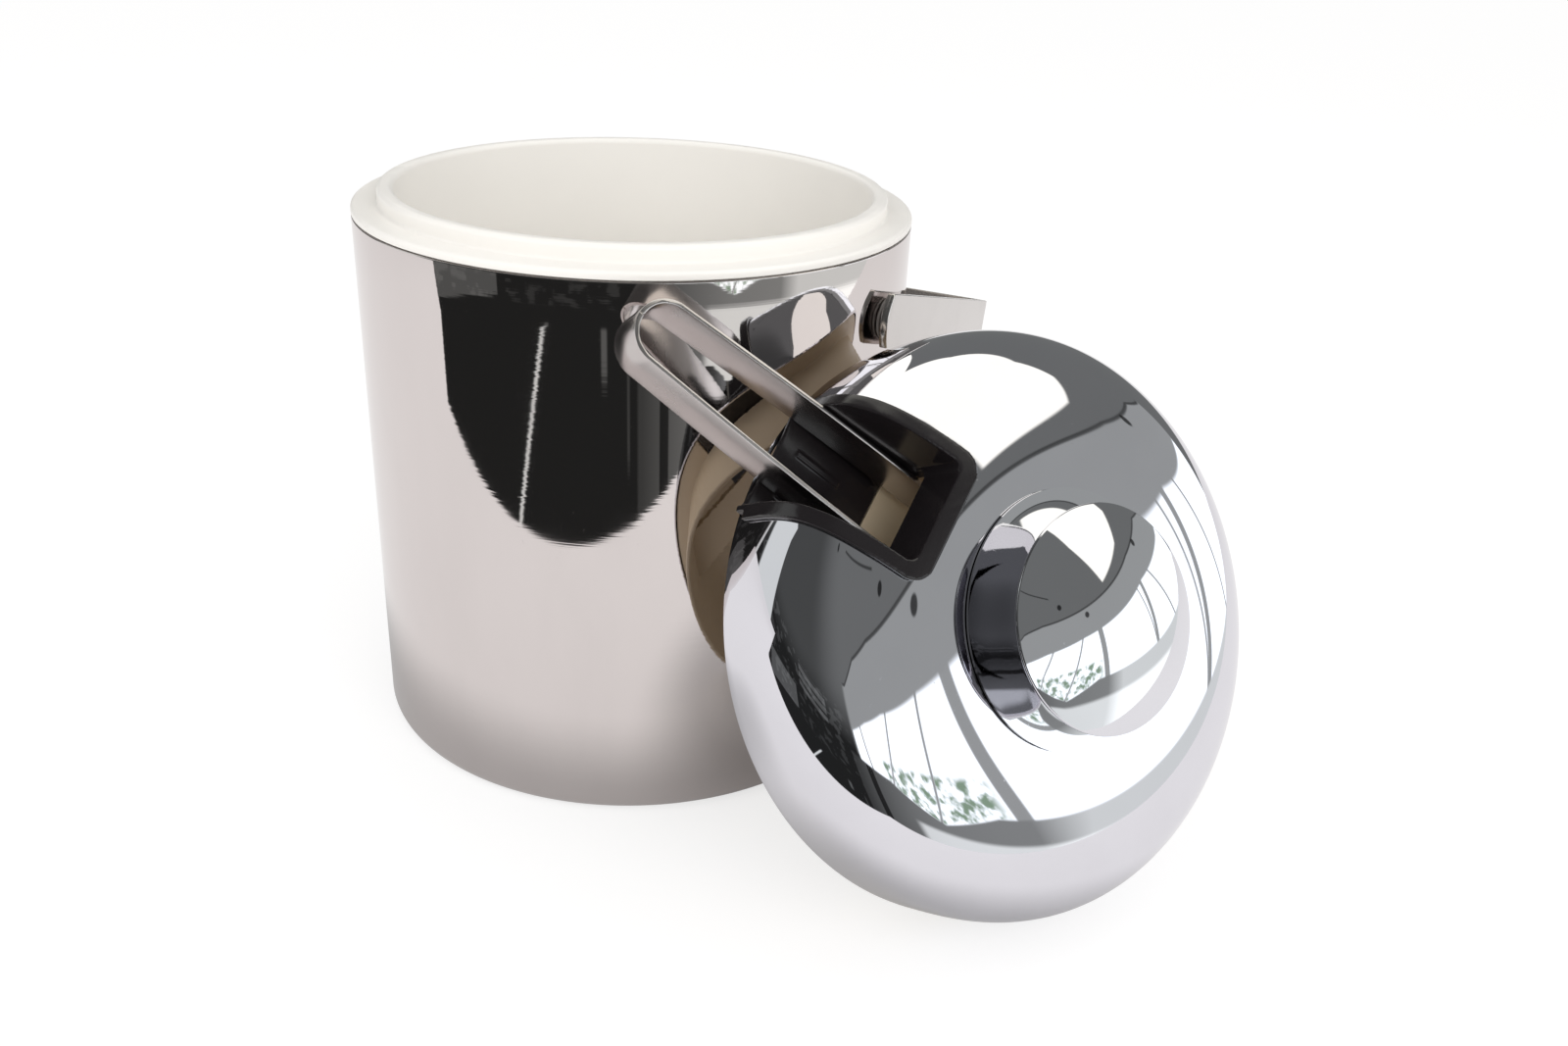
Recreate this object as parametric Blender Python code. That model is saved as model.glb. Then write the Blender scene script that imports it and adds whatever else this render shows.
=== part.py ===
"""Insulated ice bucket with a domed lid and strip tongs.

The bucket stands on the origin with its axis on Z.  Its flat strap bail is
swung down behind it.  The lid is off: it stands on its rim in front and to
the right, leaning on the bucket, with the tongs lying in its notch.
"""
import math

import bmesh
import bpy
from mathutils import Matrix, Vector

MM = 0.001

# Fits between pieces
SEAT_GAP = 0.3 * MM            # between pieces that touch
CUT_OVERRUN = 3.0 * MM         # how far a cutter runs past what it cuts
MERGE_DISTANCE = 0.001 * MM    # points nearer than this are one point

# Fineness of the turned pieces and curves
TURN_STEPS = 40                # steps of a large turned piece
SMALL_TURN_STEPS = 18          # steps of a small turned piece
ARC_STEPS = 3                  # steps of a rounded corner
CURVE_STEPS = 10               # steps of a long curve

# Bucket
BUCKET_RADIUS = 72.5 * MM
SHELL_TOP = 142.0 * MM         # height of the steel shell's upper edge
SHELL_LIFT = 0.5 * MM          # height of the steel foot ring above the table
SHELL_WALL = 1.0 * MM
SHELL_CORNER = 4.0 * MM        # radius between wall and foot ring
BASE_RECESS = 1.3 * MM         # rise of the bottom inside the foot ring
BASE_PAD_MARGIN = 8.5 * MM     # pad's edge in from the wall
BASE_PAD_EDGE = 0.4 * MM

FLANGE_THICKNESS = 2.0 * MM    # white rim that lies on the shell
FLANGE_EDGE = 1.0 * MM
FLANGE_WIDTH = 6.6 * MM        # from the wall to the raised neck
NECK_HEIGHT = 4.2 * MM
NECK_WALL = 4.1 * MM
NECK_EDGE = 1.0 * MM
NECK_FOOT_EDGE = 0.8 * MM
LINER_WALL = 2.2 * MM
LINER_TAPER = 4.3 * MM         # floor narrower than the opening, on the radius
LINER_FLOOR_HEIGHT = 16.0 * MM
LINER_FLOOR_CORNER = 9.0 * MM
LOCATOR_WALL = 1.4 * MM        # ring under the flange that centres it
LOCATOR_DEPTH = 4.0 * MM
INSULATION_DROP = 3.9 * MM     # the foam ends this far below the bail's clips

# Bail
PIVOT_DROP = 18.6 * MM               # studs below the shell's top
PIVOT_BEARING = math.radians(60.0)   # of the right-hand stud, from -Y to +X
BAIL_DROP = math.radians(15.0)       # arms below level when it rests behind
STRAP_WIDTH = 13.4 * MM
STRAP_THICKNESS = 2.0 * MM
STRAP_BEND = 4.0 * MM                # outside radius between arm and grip
BAIL_FINGER_ROOM = 8.1 * MM          # bucket to the grip's inner face
BAIL_TAIL = 8.5 * MM                 # pivot to the corners of the arm's end
BAIL_TAIL_CROWN = 2.5 * MM           # rise of the arc across that end
BUSH_FLANGE_THICKNESS = 1.0 * MM
BUSH_FLANGE_RADIUS = 5.2 * MM
BUSH_BARREL_RADIUS = 3.4 * MM
BUSH_TAIL = 1.2 * MM                 # barrel past the inside of the shell
STUD_RADIUS = 2.2 * MM
STUD_TIP = 0.6 * MM                  # stud past its clip
CLIP_RADIUS = 4.5 * MM
CLIP_THICKNESS = 1.8 * MM

# Lid
LID_HEADING = math.radians(28.15)    # bearing of the lid's axis
LID_RISE = math.radians(27.3)        # its axis above level
LID_BEARING = math.radians(45.1)     # where it stands, seen from the bucket
NOTCH_TURN = math.radians(134.6)     # notch round the axis, from level
LID_SETBACK = 3.4 * MM               # dome's rim in from the bucket's wall
DOME_HEIGHT = 34.4 * MM
DOME_WALL = 1.0 * MM
BUN_EXPONENT = 4.30                  # 2 is an ellipse, more is squarer
LID_LINER_WALL = 1.5 * MM
LID_SPACE = 4.0 * MM                 # top of the dome to the liner under it
PLUG_CLEARANCE = 1.0 * MM            # opening to the ring that drops into it
PLUG_WALL = 1.8 * MM
PLUG_DEPTH = 13.1 * MM
PLUG_EDGE = 0.5 * MM
SHOULDER_HEIGHT = 0.6 * MM           # face that rests on the bucket's neck
LID_FOAM_MARGIN = 2.8 * MM           # end wall of the notch to the foam

NOTCH_KNOB_GAP = 8.5 * MM            # knob's foot to the lip's inner end
NOTCH_SIDE_ROOM = 3.1 * MM           # side wall to the spread tongs
NOTCH_CORNER = 2.5 * MM
NOTCH_WALL = 1.5 * MM
NOTCH_FLOOR = 2.3 * MM               # height of its floor over the rim
NOTCH_SILL_INSET = 1.1 * MM          # rim to the floor's outer edge at its middle
NOTCH_SILL_HOLLOW = 0.8 * MM
NOTCH_WAY_ROOM = 6.5 * MM            # way in under the end wall, above a strip's width
NOTCH_JAMB = 0.4 * MM
LIP_WIDTH = 3.5 * MM
LIP_END_WIDTH = 4.4 * MM
LIP_THICKNESS = 1.2 * MM
LIP_CORNER = 5.0 * MM
LIP_FOOT = 4.5 * MM                  # height over the rim where its sides end
RIB_WIDTH = 1.2 * MM
RIB_HEIGHT = 0.4 * MM
RIB_OFFSET_SHARE = 0.432             # of the notch's half width
RIB_END_SHARES = (0.33, 0.82)        # of the way from the notch's end to its sill

# Knob
KNOB_FOOT_RADIUS = 29.4 * MM
KNOB_FOOT_EDGE = 0.6 * MM
KNOB_WAIST_RADIUS = 17.0 * MM
KNOB_WAIST_RISE = 6.0 * MM           # waist above the dome's top
KNOB_CAP_OVERHANG = 2.6 * MM         # cap past the neck's upper edge
KNOB_CAP_RADIUS = 25.1 * MM
KNOB_CAP_LIFT = 10.3 * MM            # cap's underside above the dome's top
KNOB_CAP_EDGE = 1.0 * MM
KNOB_CAP_CROWN = 5.5 * MM
SCREW_RADIUS = 2.2 * MM
SCREW_HEAD_RADIUS = 4.2 * MM
SCREW_HEAD_HEIGHT = 2.2 * MM
KNOB_CEILING = 2.5 * MM              # metal of the neck above the screw's hole
SCREW_BOTTOMING = 0.5 * MM
WASHER_RADIUS = 6.0 * MM
WASHER_THICKNESS = 0.8 * MM

# Tongs
STRIP_THICKNESS = 1.1 * MM
STRIP_WIDTH = 13.0 * MM
BOW_RADIUS = 7.5 * MM                # outside of the bend
TIP_CLEARANCE = 24.1 * MM            # tips to the far side of the lid's liner
TIP_HEADROOM = 3.57 * MM             # tips to the ceiling of the lid's liner
ARM_FLARE = 1.9 * MM                 # how far an arm spreads beyond the bend
ARM_FLARE_LENGTH = 66.0 * MM
ARM_TIP_CORNER = 4.0 * MM
TONGS_OVERHANG = 36.2 * MM           # middle of the bend past the lid's rim
TONGS_SIDE_GAP = 0.4 * MM            # bend to the line of the notch's side
TONGS_SWING = math.radians(-2.06)

# Sizes that follow from those above
SHELL_INSIDE = BUCKET_RADIUS - SHELL_WALL
BASE_PAD_RADIUS = BUCKET_RADIUS - BASE_PAD_MARGIN
RECESS_RADIUS = BASE_PAD_RADIUS + SEAT_GAP
RECESS_TOP = SHELL_LIFT + BASE_RECESS
SHELL_FLOOR = RECESS_TOP + SHELL_WALL
NECK_RADIUS = BUCKET_RADIUS - FLANGE_WIDTH
OPENING_RADIUS = NECK_RADIUS - NECK_WALL
LINER_FLOOR_RADIUS = OPENING_RADIUS - LINER_TAPER
FLANGE_BOTTOM = SHELL_TOP + SEAT_GAP
FLANGE_TOP = FLANGE_BOTTOM + FLANGE_THICKNESS
NECK_TOP = FLANGE_TOP + NECK_HEIGHT
LINER_BOTTOM = LINER_FLOOR_HEIGHT - LINER_WALL
PIVOT_HEIGHT = SHELL_TOP - PIVOT_DROP
INSULATION_TOP = PIVOT_HEIGHT - CLIP_RADIUS - INSULATION_DROP
BAIL_REACH = BUCKET_RADIUS + BAIL_FINGER_ROOM + STRAP_THICKNESS
BUSH_SEAT = BUCKET_RADIUS + SEAT_GAP
STRAP_INSIDE = BUSH_SEAT + BUSH_FLANGE_THICKNESS + SEAT_GAP
STRAP_OUTSIDE = STRAP_INSIDE + STRAP_THICKNESS
BUSH_INNER_END = SHELL_INSIDE - BUSH_TAIL
CLIP_OUTER_FACE = BUSH_INNER_END - SEAT_GAP
DOME_RADIUS = BUCKET_RADIUS - LID_SETBACK
DOME_INSIDE_RADIUS = DOME_RADIUS - DOME_WALL
DOME_INSIDE_HEIGHT = DOME_HEIGHT - DOME_WALL
LID_LINER_HEIGHT = DOME_HEIGHT - LID_SPACE
LID_CEILING = LID_LINER_HEIGHT - LID_LINER_WALL
PLUG_RADIUS = OPENING_RADIUS - PLUG_CLEARANCE
SCREW_HOLE_RADIUS = SCREW_RADIUS + SEAT_GAP
NOTCH_END = KNOB_FOOT_RADIUS + NOTCH_KNOB_GAP + LIP_END_WIDTH
NOTCH_SILL = DOME_RADIUS - NOTCH_SILL_INSET
NOTCH_HALF_WIDTH = BOW_RADIUS + ARM_FLARE + NOTCH_SIDE_ROOM
NOTCH_LINTEL = NOTCH_FLOOR + STRIP_WIDTH + NOTCH_WAY_ROOM
NOTCH_UNDERSIDE = NOTCH_FLOOR - NOTCH_WALL
LID_FOAM_RADIUS = NOTCH_END - NOTCH_WALL - LID_FOAM_MARGIN
KNOB_SEAT_RADIUS = KNOB_CAP_RADIUS - KNOB_CAP_OVERHANG
SCREW_BORE_TOP = DOME_HEIGHT + KNOB_CAP_LIFT - SEAT_GAP - KNOB_CEILING
LIP_OUTSIDE_RADIUS = DOME_RADIUS + SEAT_GAP + LIP_THICKNESS
LIP_OUTSIDE_HEIGHT = DOME_HEIGHT + SEAT_GAP + LIP_THICKNESS
STRIP_MIDDLE = BOW_RADIUS - STRIP_THICKNESS / 2
TONGS_REACH = DOME_RADIUS + TONGS_OVERHANG
TONGS_OFFSET = TONGS_SIDE_GAP + BOW_RADIUS - NOTCH_HALF_WIDTH
ARM_LENGTH = TONGS_REACH + PLUG_RADIUS - TIP_CLEARANCE


# Making the shapes
def rounded(corners, steps=ARC_STEPS, closed=False):
    """Outline through corners (x, y[, radius]), each radius made an arc."""
    points = []
    count = len(corners)
    for index, corner in enumerate(corners):
        here = Vector(corner[:2])
        radius = corner[2] if len(corner) > 2 else 0.0
        is_end = not closed and index in (0, count - 1)
        if radius <= 0.0 or is_end:
            points.append(tuple(here))
            continue
        before = Vector(corners[index - 1][:2]) - here
        after = Vector(corners[(index + 1) % count][:2]) - here
        half = before.angle(after) / 2
        reach = min(radius / math.tan(half), before.length / 2, after.length / 2)
        radius = reach * math.tan(half)
        middle = here + (before.normalized() + after.normalized()).normalized() * (radius / math.sin(half))
        start = here + before.normalized() * reach - middle
        turn = start.angle_signed(here + after.normalized() * reach - middle)
        for step in range(steps + 1):
            arm = start.copy()
            arm.rotate(Matrix.Rotation(-turn * step / steps, 2))
            points.append(tuple(middle + arm))
    return points


def bun_curve(radius, height, steps=CURVE_STEPS):
    """Points (radius, height) of the lid's curve from its rim to its top."""
    power = 2.0 / BUN_EXPONENT
    points = []
    for step in range(steps + 1):
        angle = math.pi / 2 * step / steps
        points.append((radius * max(math.cos(angle), 0.0) ** power, height * math.sin(angle) ** power))
    points[-1] = (0.0, height)
    return points


def bun_height(radius, height, at):
    """Height of the lid's curve at one distance from the axis."""
    return height * (1.0 - (at / radius) ** BUN_EXPONENT) ** (1.0 / BUN_EXPONENT)


def holed_bun(radius, height, hole, floor=0.0):
    """The curve above a floor height, ended at a hole round the axis."""
    kept = [point for point in bun_curve(radius, height) if point[0] > hole and point[1] >= floor]
    return kept + [(hole, bun_height(radius, height, hole))]


def finish_mesh(name, bm, material):
    """Turns a bmesh into a named, smooth-shaded object."""
    bmesh.ops.remove_doubles(bm, verts=bm.verts, dist=MERGE_DISTANCE)
    bmesh.ops.recalc_face_normals(bm, faces=bm.faces)
    mesh = bpy.data.meshes.new(name)
    bm.to_mesh(mesh)
    bm.free()
    mesh.shade_smooth()
    mesh.set_sharp_from_angle(angle=math.radians(30))
    thing = bpy.data.objects.new(name, mesh)
    bpy.context.scene.collection.objects.link(thing)
    if material is None:
        thing.hide_render = True
        thing.display_type = "WIRE"
    else:
        mesh.materials.append(material)
    return thing


def turned(name, outline, material, steps=TURN_STEPS):
    """Turns an outline of (radius, height) points about Z."""
    bm = bmesh.new()
    verts = [bm.verts.new((radius, 0.0, height)) for radius, height in outline]
    edges = [bm.edges.new(pair) for pair in zip(verts, verts[1:])]
    if outline[0][0] > 0.0 or outline[-1][0] > 0.0:
        edges.append(bm.edges.new((verts[-1], verts[0])))
    bmesh.ops.spin(bm, geom=verts + edges, cent=(0, 0, 0), axis=(0, 0, 1), dvec=(0, 0, 0),
                   angle=2 * math.pi, steps=steps, use_merge=True, use_duplicate=False)
    return finish_mesh(name, bm, material)


def prism(name, outline, low, high, material, placing=Matrix.Identity(4)):
    """Raises an outline of (x, y) points from one height to another."""
    bm = bmesh.new()
    face = bm.faces.new([bm.verts.new((x, y, low)) for x, y in outline])
    raised = bmesh.ops.extrude_face_region(bm, geom=[face])
    top = [item for item in raised["geom"] if isinstance(item, bmesh.types.BMVert)]
    bmesh.ops.translate(bm, verts=top, vec=(0, 0, high - low))
    bmesh.ops.transform(bm, matrix=placing, verts=bm.verts)
    return finish_mesh(name, bm, material)


def rectangle(left, right, front, back):
    return [(left, front), (right, front), (right, back), (left, back)]


def box(name, left, right, front, back, low, high, material):
    return prism(name, rectangle(left, right, front, back), low, high, material)


def combine(target, tool, operation):
    """Adds a Boolean to a piece; the tool keeps out of the model."""
    step = target.modifiers.new(tool.name, "BOOLEAN")
    step.operation = operation
    step.object = tool
    step.solver = "EXACT"


def put_under(parent, *things):
    for thing in things:
        thing.parent = parent


def empty(name, matrix):
    frame = bpy.data.objects.new(name, None)
    frame.empty_display_size = BOW_RADIUS
    bpy.context.scene.collection.objects.link(frame)
    frame.matrix_world = matrix
    return frame


def frame_matrix(x_axis, y_axis, z_axis, origin):
    """Matrix whose columns are three directions and a place."""
    turn = Matrix((x_axis, y_axis, z_axis)).transposed().to_4x4()
    return Matrix.Translation(origin) @ turn


def make_material(name, colour, roughness, metallic=0.0):
    material = bpy.data.materials.new(name)
    material.use_nodes = True
    shader = material.node_tree.nodes["Principled BSDF"]
    shader.inputs["Base Color"].default_value = (*colour, 1.0)
    shader.inputs["Roughness"].default_value = roughness
    shader.inputs["Metallic"].default_value = metallic
    material.diffuse_color = (*colour, 1.0)
    return material


def make_materials():
    return {
        "mirror_steel": make_material("mirror_steel", (0.72, 0.70, 0.68), 0.04, 1.0),
        "satin_steel": make_material("satin_steel", (0.66, 0.65, 0.64), 0.25, 1.0),
        "white_plastic": make_material("white_plastic", (0.86, 0.85, 0.80), 0.35),
        "tan_plastic": make_material("tan_plastic", (0.55, 0.45, 0.28), 0.40),
        "black_plastic": make_material("black_plastic", (0.012, 0.012, 0.014), 0.15),
        "foam": make_material("foam", (0.80, 0.76, 0.62), 0.95),
        "grey_pad": make_material("grey_pad", (0.10, 0.10, 0.10), 0.80),
        "acetal": make_material("acetal", (0.75, 0.75, 0.73), 0.45),
    }


# Making the bucket
def liner_outside_at(height):
    """Radius of the bucket liner's tapered outside at a height."""
    rise = (height - LINER_BOTTOM) / (FLANGE_BOTTOM - LINER_BOTTOM)
    low = LINER_FLOOR_RADIUS + LINER_WALL
    return low + (OPENING_RADIUS + LINER_WALL - low) * rise


def make_outer_shell(materials):
    shell = turned("outer_shell", rounded([
        (0.0, RECESS_TOP),
        (RECESS_RADIUS, RECESS_TOP),
        (RECESS_RADIUS, SHELL_LIFT),
        (BUCKET_RADIUS, SHELL_LIFT, SHELL_CORNER),
        (BUCKET_RADIUS, SHELL_TOP),
        (SHELL_INSIDE, SHELL_TOP),
        (SHELL_INSIDE, SHELL_FLOOR, SHELL_CORNER - SHELL_WALL),
        (0.0, SHELL_FLOOR),
    ]), materials["mirror_steel"])
    for side, turn in (("right", 0.0), ("left", math.pi)):
        hole = turned("shell_hole_" + side, [
            (0.0, BUSH_INNER_END),
            (BUSH_BARREL_RADIUS + SEAT_GAP, BUSH_INNER_END),
            (BUSH_BARREL_RADIUS + SEAT_GAP, BUCKET_RADIUS + CUT_OVERRUN),
            (0.0, BUCKET_RADIUS + CUT_OVERRUN),
        ], None, SMALL_TURN_STEPS)
        hole.matrix_world = stud_matrix(turn)
        combine(shell, hole, "DIFFERENCE")
    return shell


def make_base_pad(materials):
    top = RECESS_TOP - SEAT_GAP
    return turned("base_pad", rounded([
        (0.0, 0.0),
        (BASE_PAD_RADIUS, 0.0, BASE_PAD_EDGE),
        (BASE_PAD_RADIUS, top),
        (0.0, top),
    ]), materials["grey_pad"])


def make_inner_liner(materials):
    locator = SHELL_INSIDE - SEAT_GAP
    return turned("inner_liner", rounded([
        (0.0, LINER_BOTTOM),
        (LINER_FLOOR_RADIUS + LINER_WALL, LINER_BOTTOM, LINER_FLOOR_CORNER + LINER_WALL),
        (OPENING_RADIUS + LINER_WALL, FLANGE_BOTTOM),
        (locator - LOCATOR_WALL, FLANGE_BOTTOM),
        (locator - LOCATOR_WALL, FLANGE_BOTTOM - LOCATOR_DEPTH),
        (locator, FLANGE_BOTTOM - LOCATOR_DEPTH),
        (locator, FLANGE_BOTTOM),
        (BUCKET_RADIUS, FLANGE_BOTTOM),
        (BUCKET_RADIUS, FLANGE_TOP, FLANGE_EDGE),
        (NECK_RADIUS, FLANGE_TOP, NECK_FOOT_EDGE),
        (NECK_RADIUS, NECK_TOP, NECK_EDGE),
        (OPENING_RADIUS, NECK_TOP, NECK_EDGE),
        (LINER_FLOOR_RADIUS, LINER_FLOOR_HEIGHT, LINER_FLOOR_CORNER),
        (0.0, LINER_FLOOR_HEIGHT),
    ]), materials["white_plastic"])


def make_bucket_insulation(materials):
    outside = SHELL_INSIDE - SEAT_GAP
    low = SHELL_FLOOR + SEAT_GAP
    return turned("bucket_insulation", rounded([
        (0.0, low),
        (outside, low, SHELL_CORNER - SHELL_WALL),
        (outside, INSULATION_TOP),
        (liner_outside_at(INSULATION_TOP) + SEAT_GAP, INSULATION_TOP),
        (LINER_FLOOR_RADIUS + LINER_WALL + SEAT_GAP, LINER_BOTTOM - SEAT_GAP,
         LINER_FLOOR_CORNER + LINER_WALL),
        (0.0, LINER_BOTTOM - SEAT_GAP),
    ]), materials["foam"])


# Making the bail
def pivot_direction():
    return Vector((math.sin(PIVOT_BEARING), -math.cos(PIVOT_BEARING), 0.0))


def stud_matrix(turn):
    """Frame of one stud: Z runs out along it, the bucket's axis is at 0."""
    outward = Matrix.Rotation(turn, 3, "Z") @ pivot_direction()
    up = Vector((0.0, 0.0, 1.0))
    return frame_matrix(up, outward.cross(up), outward, Vector((0.0, 0.0, PIVOT_HEIGHT)))


def bail_matrix():
    """Frame of the bail: X along its studs, Y down its arms."""
    across = pivot_direction()
    back = Vector((0.0, 0.0, 1.0)).cross(across)
    level = frame_matrix(across, back, Vector((0.0, 0.0, 1.0)), Vector((0.0, 0.0, PIVOT_HEIGHT)))
    return level @ Matrix.Rotation(-BAIL_DROP, 4, "X")


def make_bail_handle(materials):
    """U of flat strap: the bent outline, trimmed to the strap's side view."""
    grip_inside = BAIL_REACH - STRAP_THICKNESS
    inner_bend = STRAP_BEND - STRAP_THICKNESS
    tail = -BAIL_TAIL - BAIL_TAIL_CROWN - CUT_OVERRUN
    half = STRAP_WIDTH / 2
    handle = prism("bail_handle", rounded([
        (-STRAP_OUTSIDE, tail),
        (-STRAP_OUTSIDE, BAIL_REACH, STRAP_BEND),
        (STRAP_OUTSIDE, BAIL_REACH, STRAP_BEND),
        (STRAP_OUTSIDE, tail),
        (STRAP_INSIDE, tail),
        (STRAP_INSIDE, grip_inside, inner_bend),
        (-STRAP_INSIDE, grip_inside, inner_bend),
        (-STRAP_INSIDE, tail),
    ], steps=2 * ARC_STEPS, closed=True), -half, half, materials["satin_steel"])
    # Side view: straight edges that run past the grip, and a crowned end.
    radius = (half ** 2 + BAIL_TAIL_CROWN ** 2) / (2 * BAIL_TAIL_CROWN)
    centre = -BAIL_TAIL - BAIL_TAIL_CROWN + radius
    spread = math.asin(half / radius)
    crown = [(centre - radius * math.cos(angle), radius * math.sin(angle))
             for angle in (spread * (2 * step / CURVE_STEPS - 1) for step in range(CURVE_STEPS + 1))]
    far = BAIL_REACH + CUT_OVERRUN
    # Read the outline's x as Y, its y as Z, and raise it along X.
    sideways = Matrix(((0, 0, 1, 0), (1, 0, 0, 0), (0, 1, 0, 0), (0, 0, 0, 1)))
    trim = prism("bail_side_view", crown + [(far, half), (far, -half)],
                 -STRAP_OUTSIDE - CUT_OVERRUN, STRAP_OUTSIDE + CUT_OVERRUN, None, sideways)
    combine(handle, trim, "INTERSECT")
    return handle, trim


def make_stud_set(side, turn, materials):
    """Bush in the shell, and the stud and clip that turn with the bail."""
    bush = turned("bail_bush_" + side, [
        (STUD_RADIUS + SEAT_GAP, BUSH_INNER_END),
        (BUSH_BARREL_RADIUS, BUSH_INNER_END),
        (BUSH_BARREL_RADIUS, BUSH_SEAT),
        (BUSH_FLANGE_RADIUS, BUSH_SEAT),
        (BUSH_FLANGE_RADIUS, BUSH_SEAT + BUSH_FLANGE_THICKNESS),
        (STUD_RADIUS + SEAT_GAP, BUSH_SEAT + BUSH_FLANGE_THICKNESS),
    ], materials["acetal"], SMALL_TURN_STEPS)
    clip_inner_face = CLIP_OUTER_FACE - CLIP_THICKNESS
    clip = turned("bail_clip_" + side, [
        (STUD_RADIUS + SEAT_GAP, clip_inner_face),
        (CLIP_RADIUS, clip_inner_face),
        (CLIP_RADIUS, CLIP_OUTER_FACE),
        (STUD_RADIUS + SEAT_GAP, CLIP_OUTER_FACE),
    ], materials["satin_steel"], SMALL_TURN_STEPS)
    stud = turned("bail_stud_" + side, [
        (0.0, clip_inner_face - STUD_TIP),
        (STUD_RADIUS, clip_inner_face - STUD_TIP),
        (STUD_RADIUS, STRAP_INSIDE - SEAT_GAP),
        (0.0, STRAP_INSIDE - SEAT_GAP),
    ], materials["satin_steel"], SMALL_TURN_STEPS)
    for piece in (bush, clip, stud):
        piece.matrix_world = stud_matrix(turn)


# Making the lid
def lid_turn():
    """Rotation of the lid: X to its notch, Z out through its knob."""
    axis = Vector((math.sin(LID_HEADING) * math.cos(LID_RISE),
                   -math.cos(LID_HEADING) * math.cos(LID_RISE), math.sin(LID_RISE)))
    level = Vector((math.cos(LID_HEADING), math.sin(LID_HEADING), 0.0))
    upward = axis.cross(level)
    notch = math.cos(NOTCH_TURN) * level + math.sin(NOTCH_TURN) * upward
    return notch, axis.cross(notch), axis


def lid_matrix():
    """Stands the lid on its rim, leaning with its plug on the bucket's wall."""
    notch, side, axis = lid_turn()
    height = max(radius * math.cos(LID_RISE) - rise * math.sin(LID_RISE)
                 for radius, rise in bun_curve(DOME_RADIUS, DOME_HEIGHT, steps=2 * TURN_STEPS))
    ring = []
    for step in range(4 * TURN_STEPS):
        angle = 2 * math.pi * step / (4 * TURN_STEPS)
        around = math.cos(angle) * notch + math.sin(angle) * side
        ring.append(PLUG_RADIUS * around - PLUG_DEPTH * axis)
        ring.append(DOME_RADIUS * around)
    bearing = Vector((math.sin(LID_BEARING), -math.cos(LID_BEARING), 0.0))
    near, far = DOME_RADIUS, BUCKET_RADIUS + 3 * DOME_RADIUS
    for _ in range(60):
        middle = (near + far) / 2
        gap = min((bearing * middle + point).to_2d().length for point in ring) - BUCKET_RADIUS
        if gap < SEAT_GAP:
            near = middle
        else:
            far = middle
    return frame_matrix(notch, side, axis, bearing * far + Vector((0.0, 0.0, height)))


def make_notch_cutter():
    """Clears the lid's shells for the walls and floor of the notch."""
    side = NOTCH_HALF_WIDTH + NOTCH_WALL + SEAT_GAP
    return box("notch_clearance", NOTCH_END - NOTCH_WALL - SEAT_GAP, LIP_OUTSIDE_RADIUS + CUT_OVERRUN,
               -side, side, NOTCH_UNDERSIDE - SEAT_GAP, LIP_OUTSIDE_HEIGHT + CUT_OVERRUN, None)


def make_lid_dome(materials, notch_cutter):
    outside = holed_bun(DOME_RADIUS, DOME_HEIGHT, SCREW_HOLE_RADIUS)
    inside = holed_bun(DOME_INSIDE_RADIUS, DOME_INSIDE_HEIGHT, SCREW_HOLE_RADIUS)
    dome = turned("lid_dome", outside + inside[::-1], materials["mirror_steel"])
    combine(dome, notch_cutter, "DIFFERENCE")
    return dome


def make_lid_liner(materials, notch_cutter):
    """Tan inner dome with a flange to the rim and a ring into the opening."""
    flange_radius = DOME_INSIDE_RADIUS - 2 * SEAT_GAP
    flange_top = SHOULDER_HEIGHT + LID_LINER_WALL
    plug_inside = PLUG_RADIUS - PLUG_WALL
    lower = rounded([
        (plug_inside, 0.0),
        (plug_inside, -PLUG_DEPTH, PLUG_EDGE),
        (PLUG_RADIUS, -PLUG_DEPTH, PLUG_EDGE),
        (PLUG_RADIUS, SHOULDER_HEIGHT),
        (flange_radius, SHOULDER_HEIGHT),
        (flange_radius, flange_top),
        (PLUG_RADIUS, flange_top),
    ])
    outside = holed_bun(PLUG_RADIUS, LID_LINER_HEIGHT, SCREW_HOLE_RADIUS, floor=flange_top)
    inside = holed_bun(plug_inside, LID_CEILING, SCREW_HOLE_RADIUS)
    liner = turned("lid_liner", lower + outside + inside[:0:-1], materials["tan_plastic"])
    combine(liner, notch_cutter, "DIFFERENCE")
    return liner


def make_lid_insulation(materials):
    """Foam disc between the dome and its liner, round the knob's screw."""
    hole = SCREW_HOLE_RADIUS + SEAT_GAP
    radii = [hole + (LID_FOAM_RADIUS - hole) * step / ARC_STEPS for step in range(ARC_STEPS + 1)]
    top = [(r, bun_height(DOME_INSIDE_RADIUS, DOME_INSIDE_HEIGHT, r) - SEAT_GAP) for r in radii]
    under = [(r, bun_height(PLUG_RADIUS, LID_LINER_HEIGHT, r) + SEAT_GAP) for r in radii]
    return turned("lid_insulation", top + under[::-1], materials["foam"])


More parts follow.
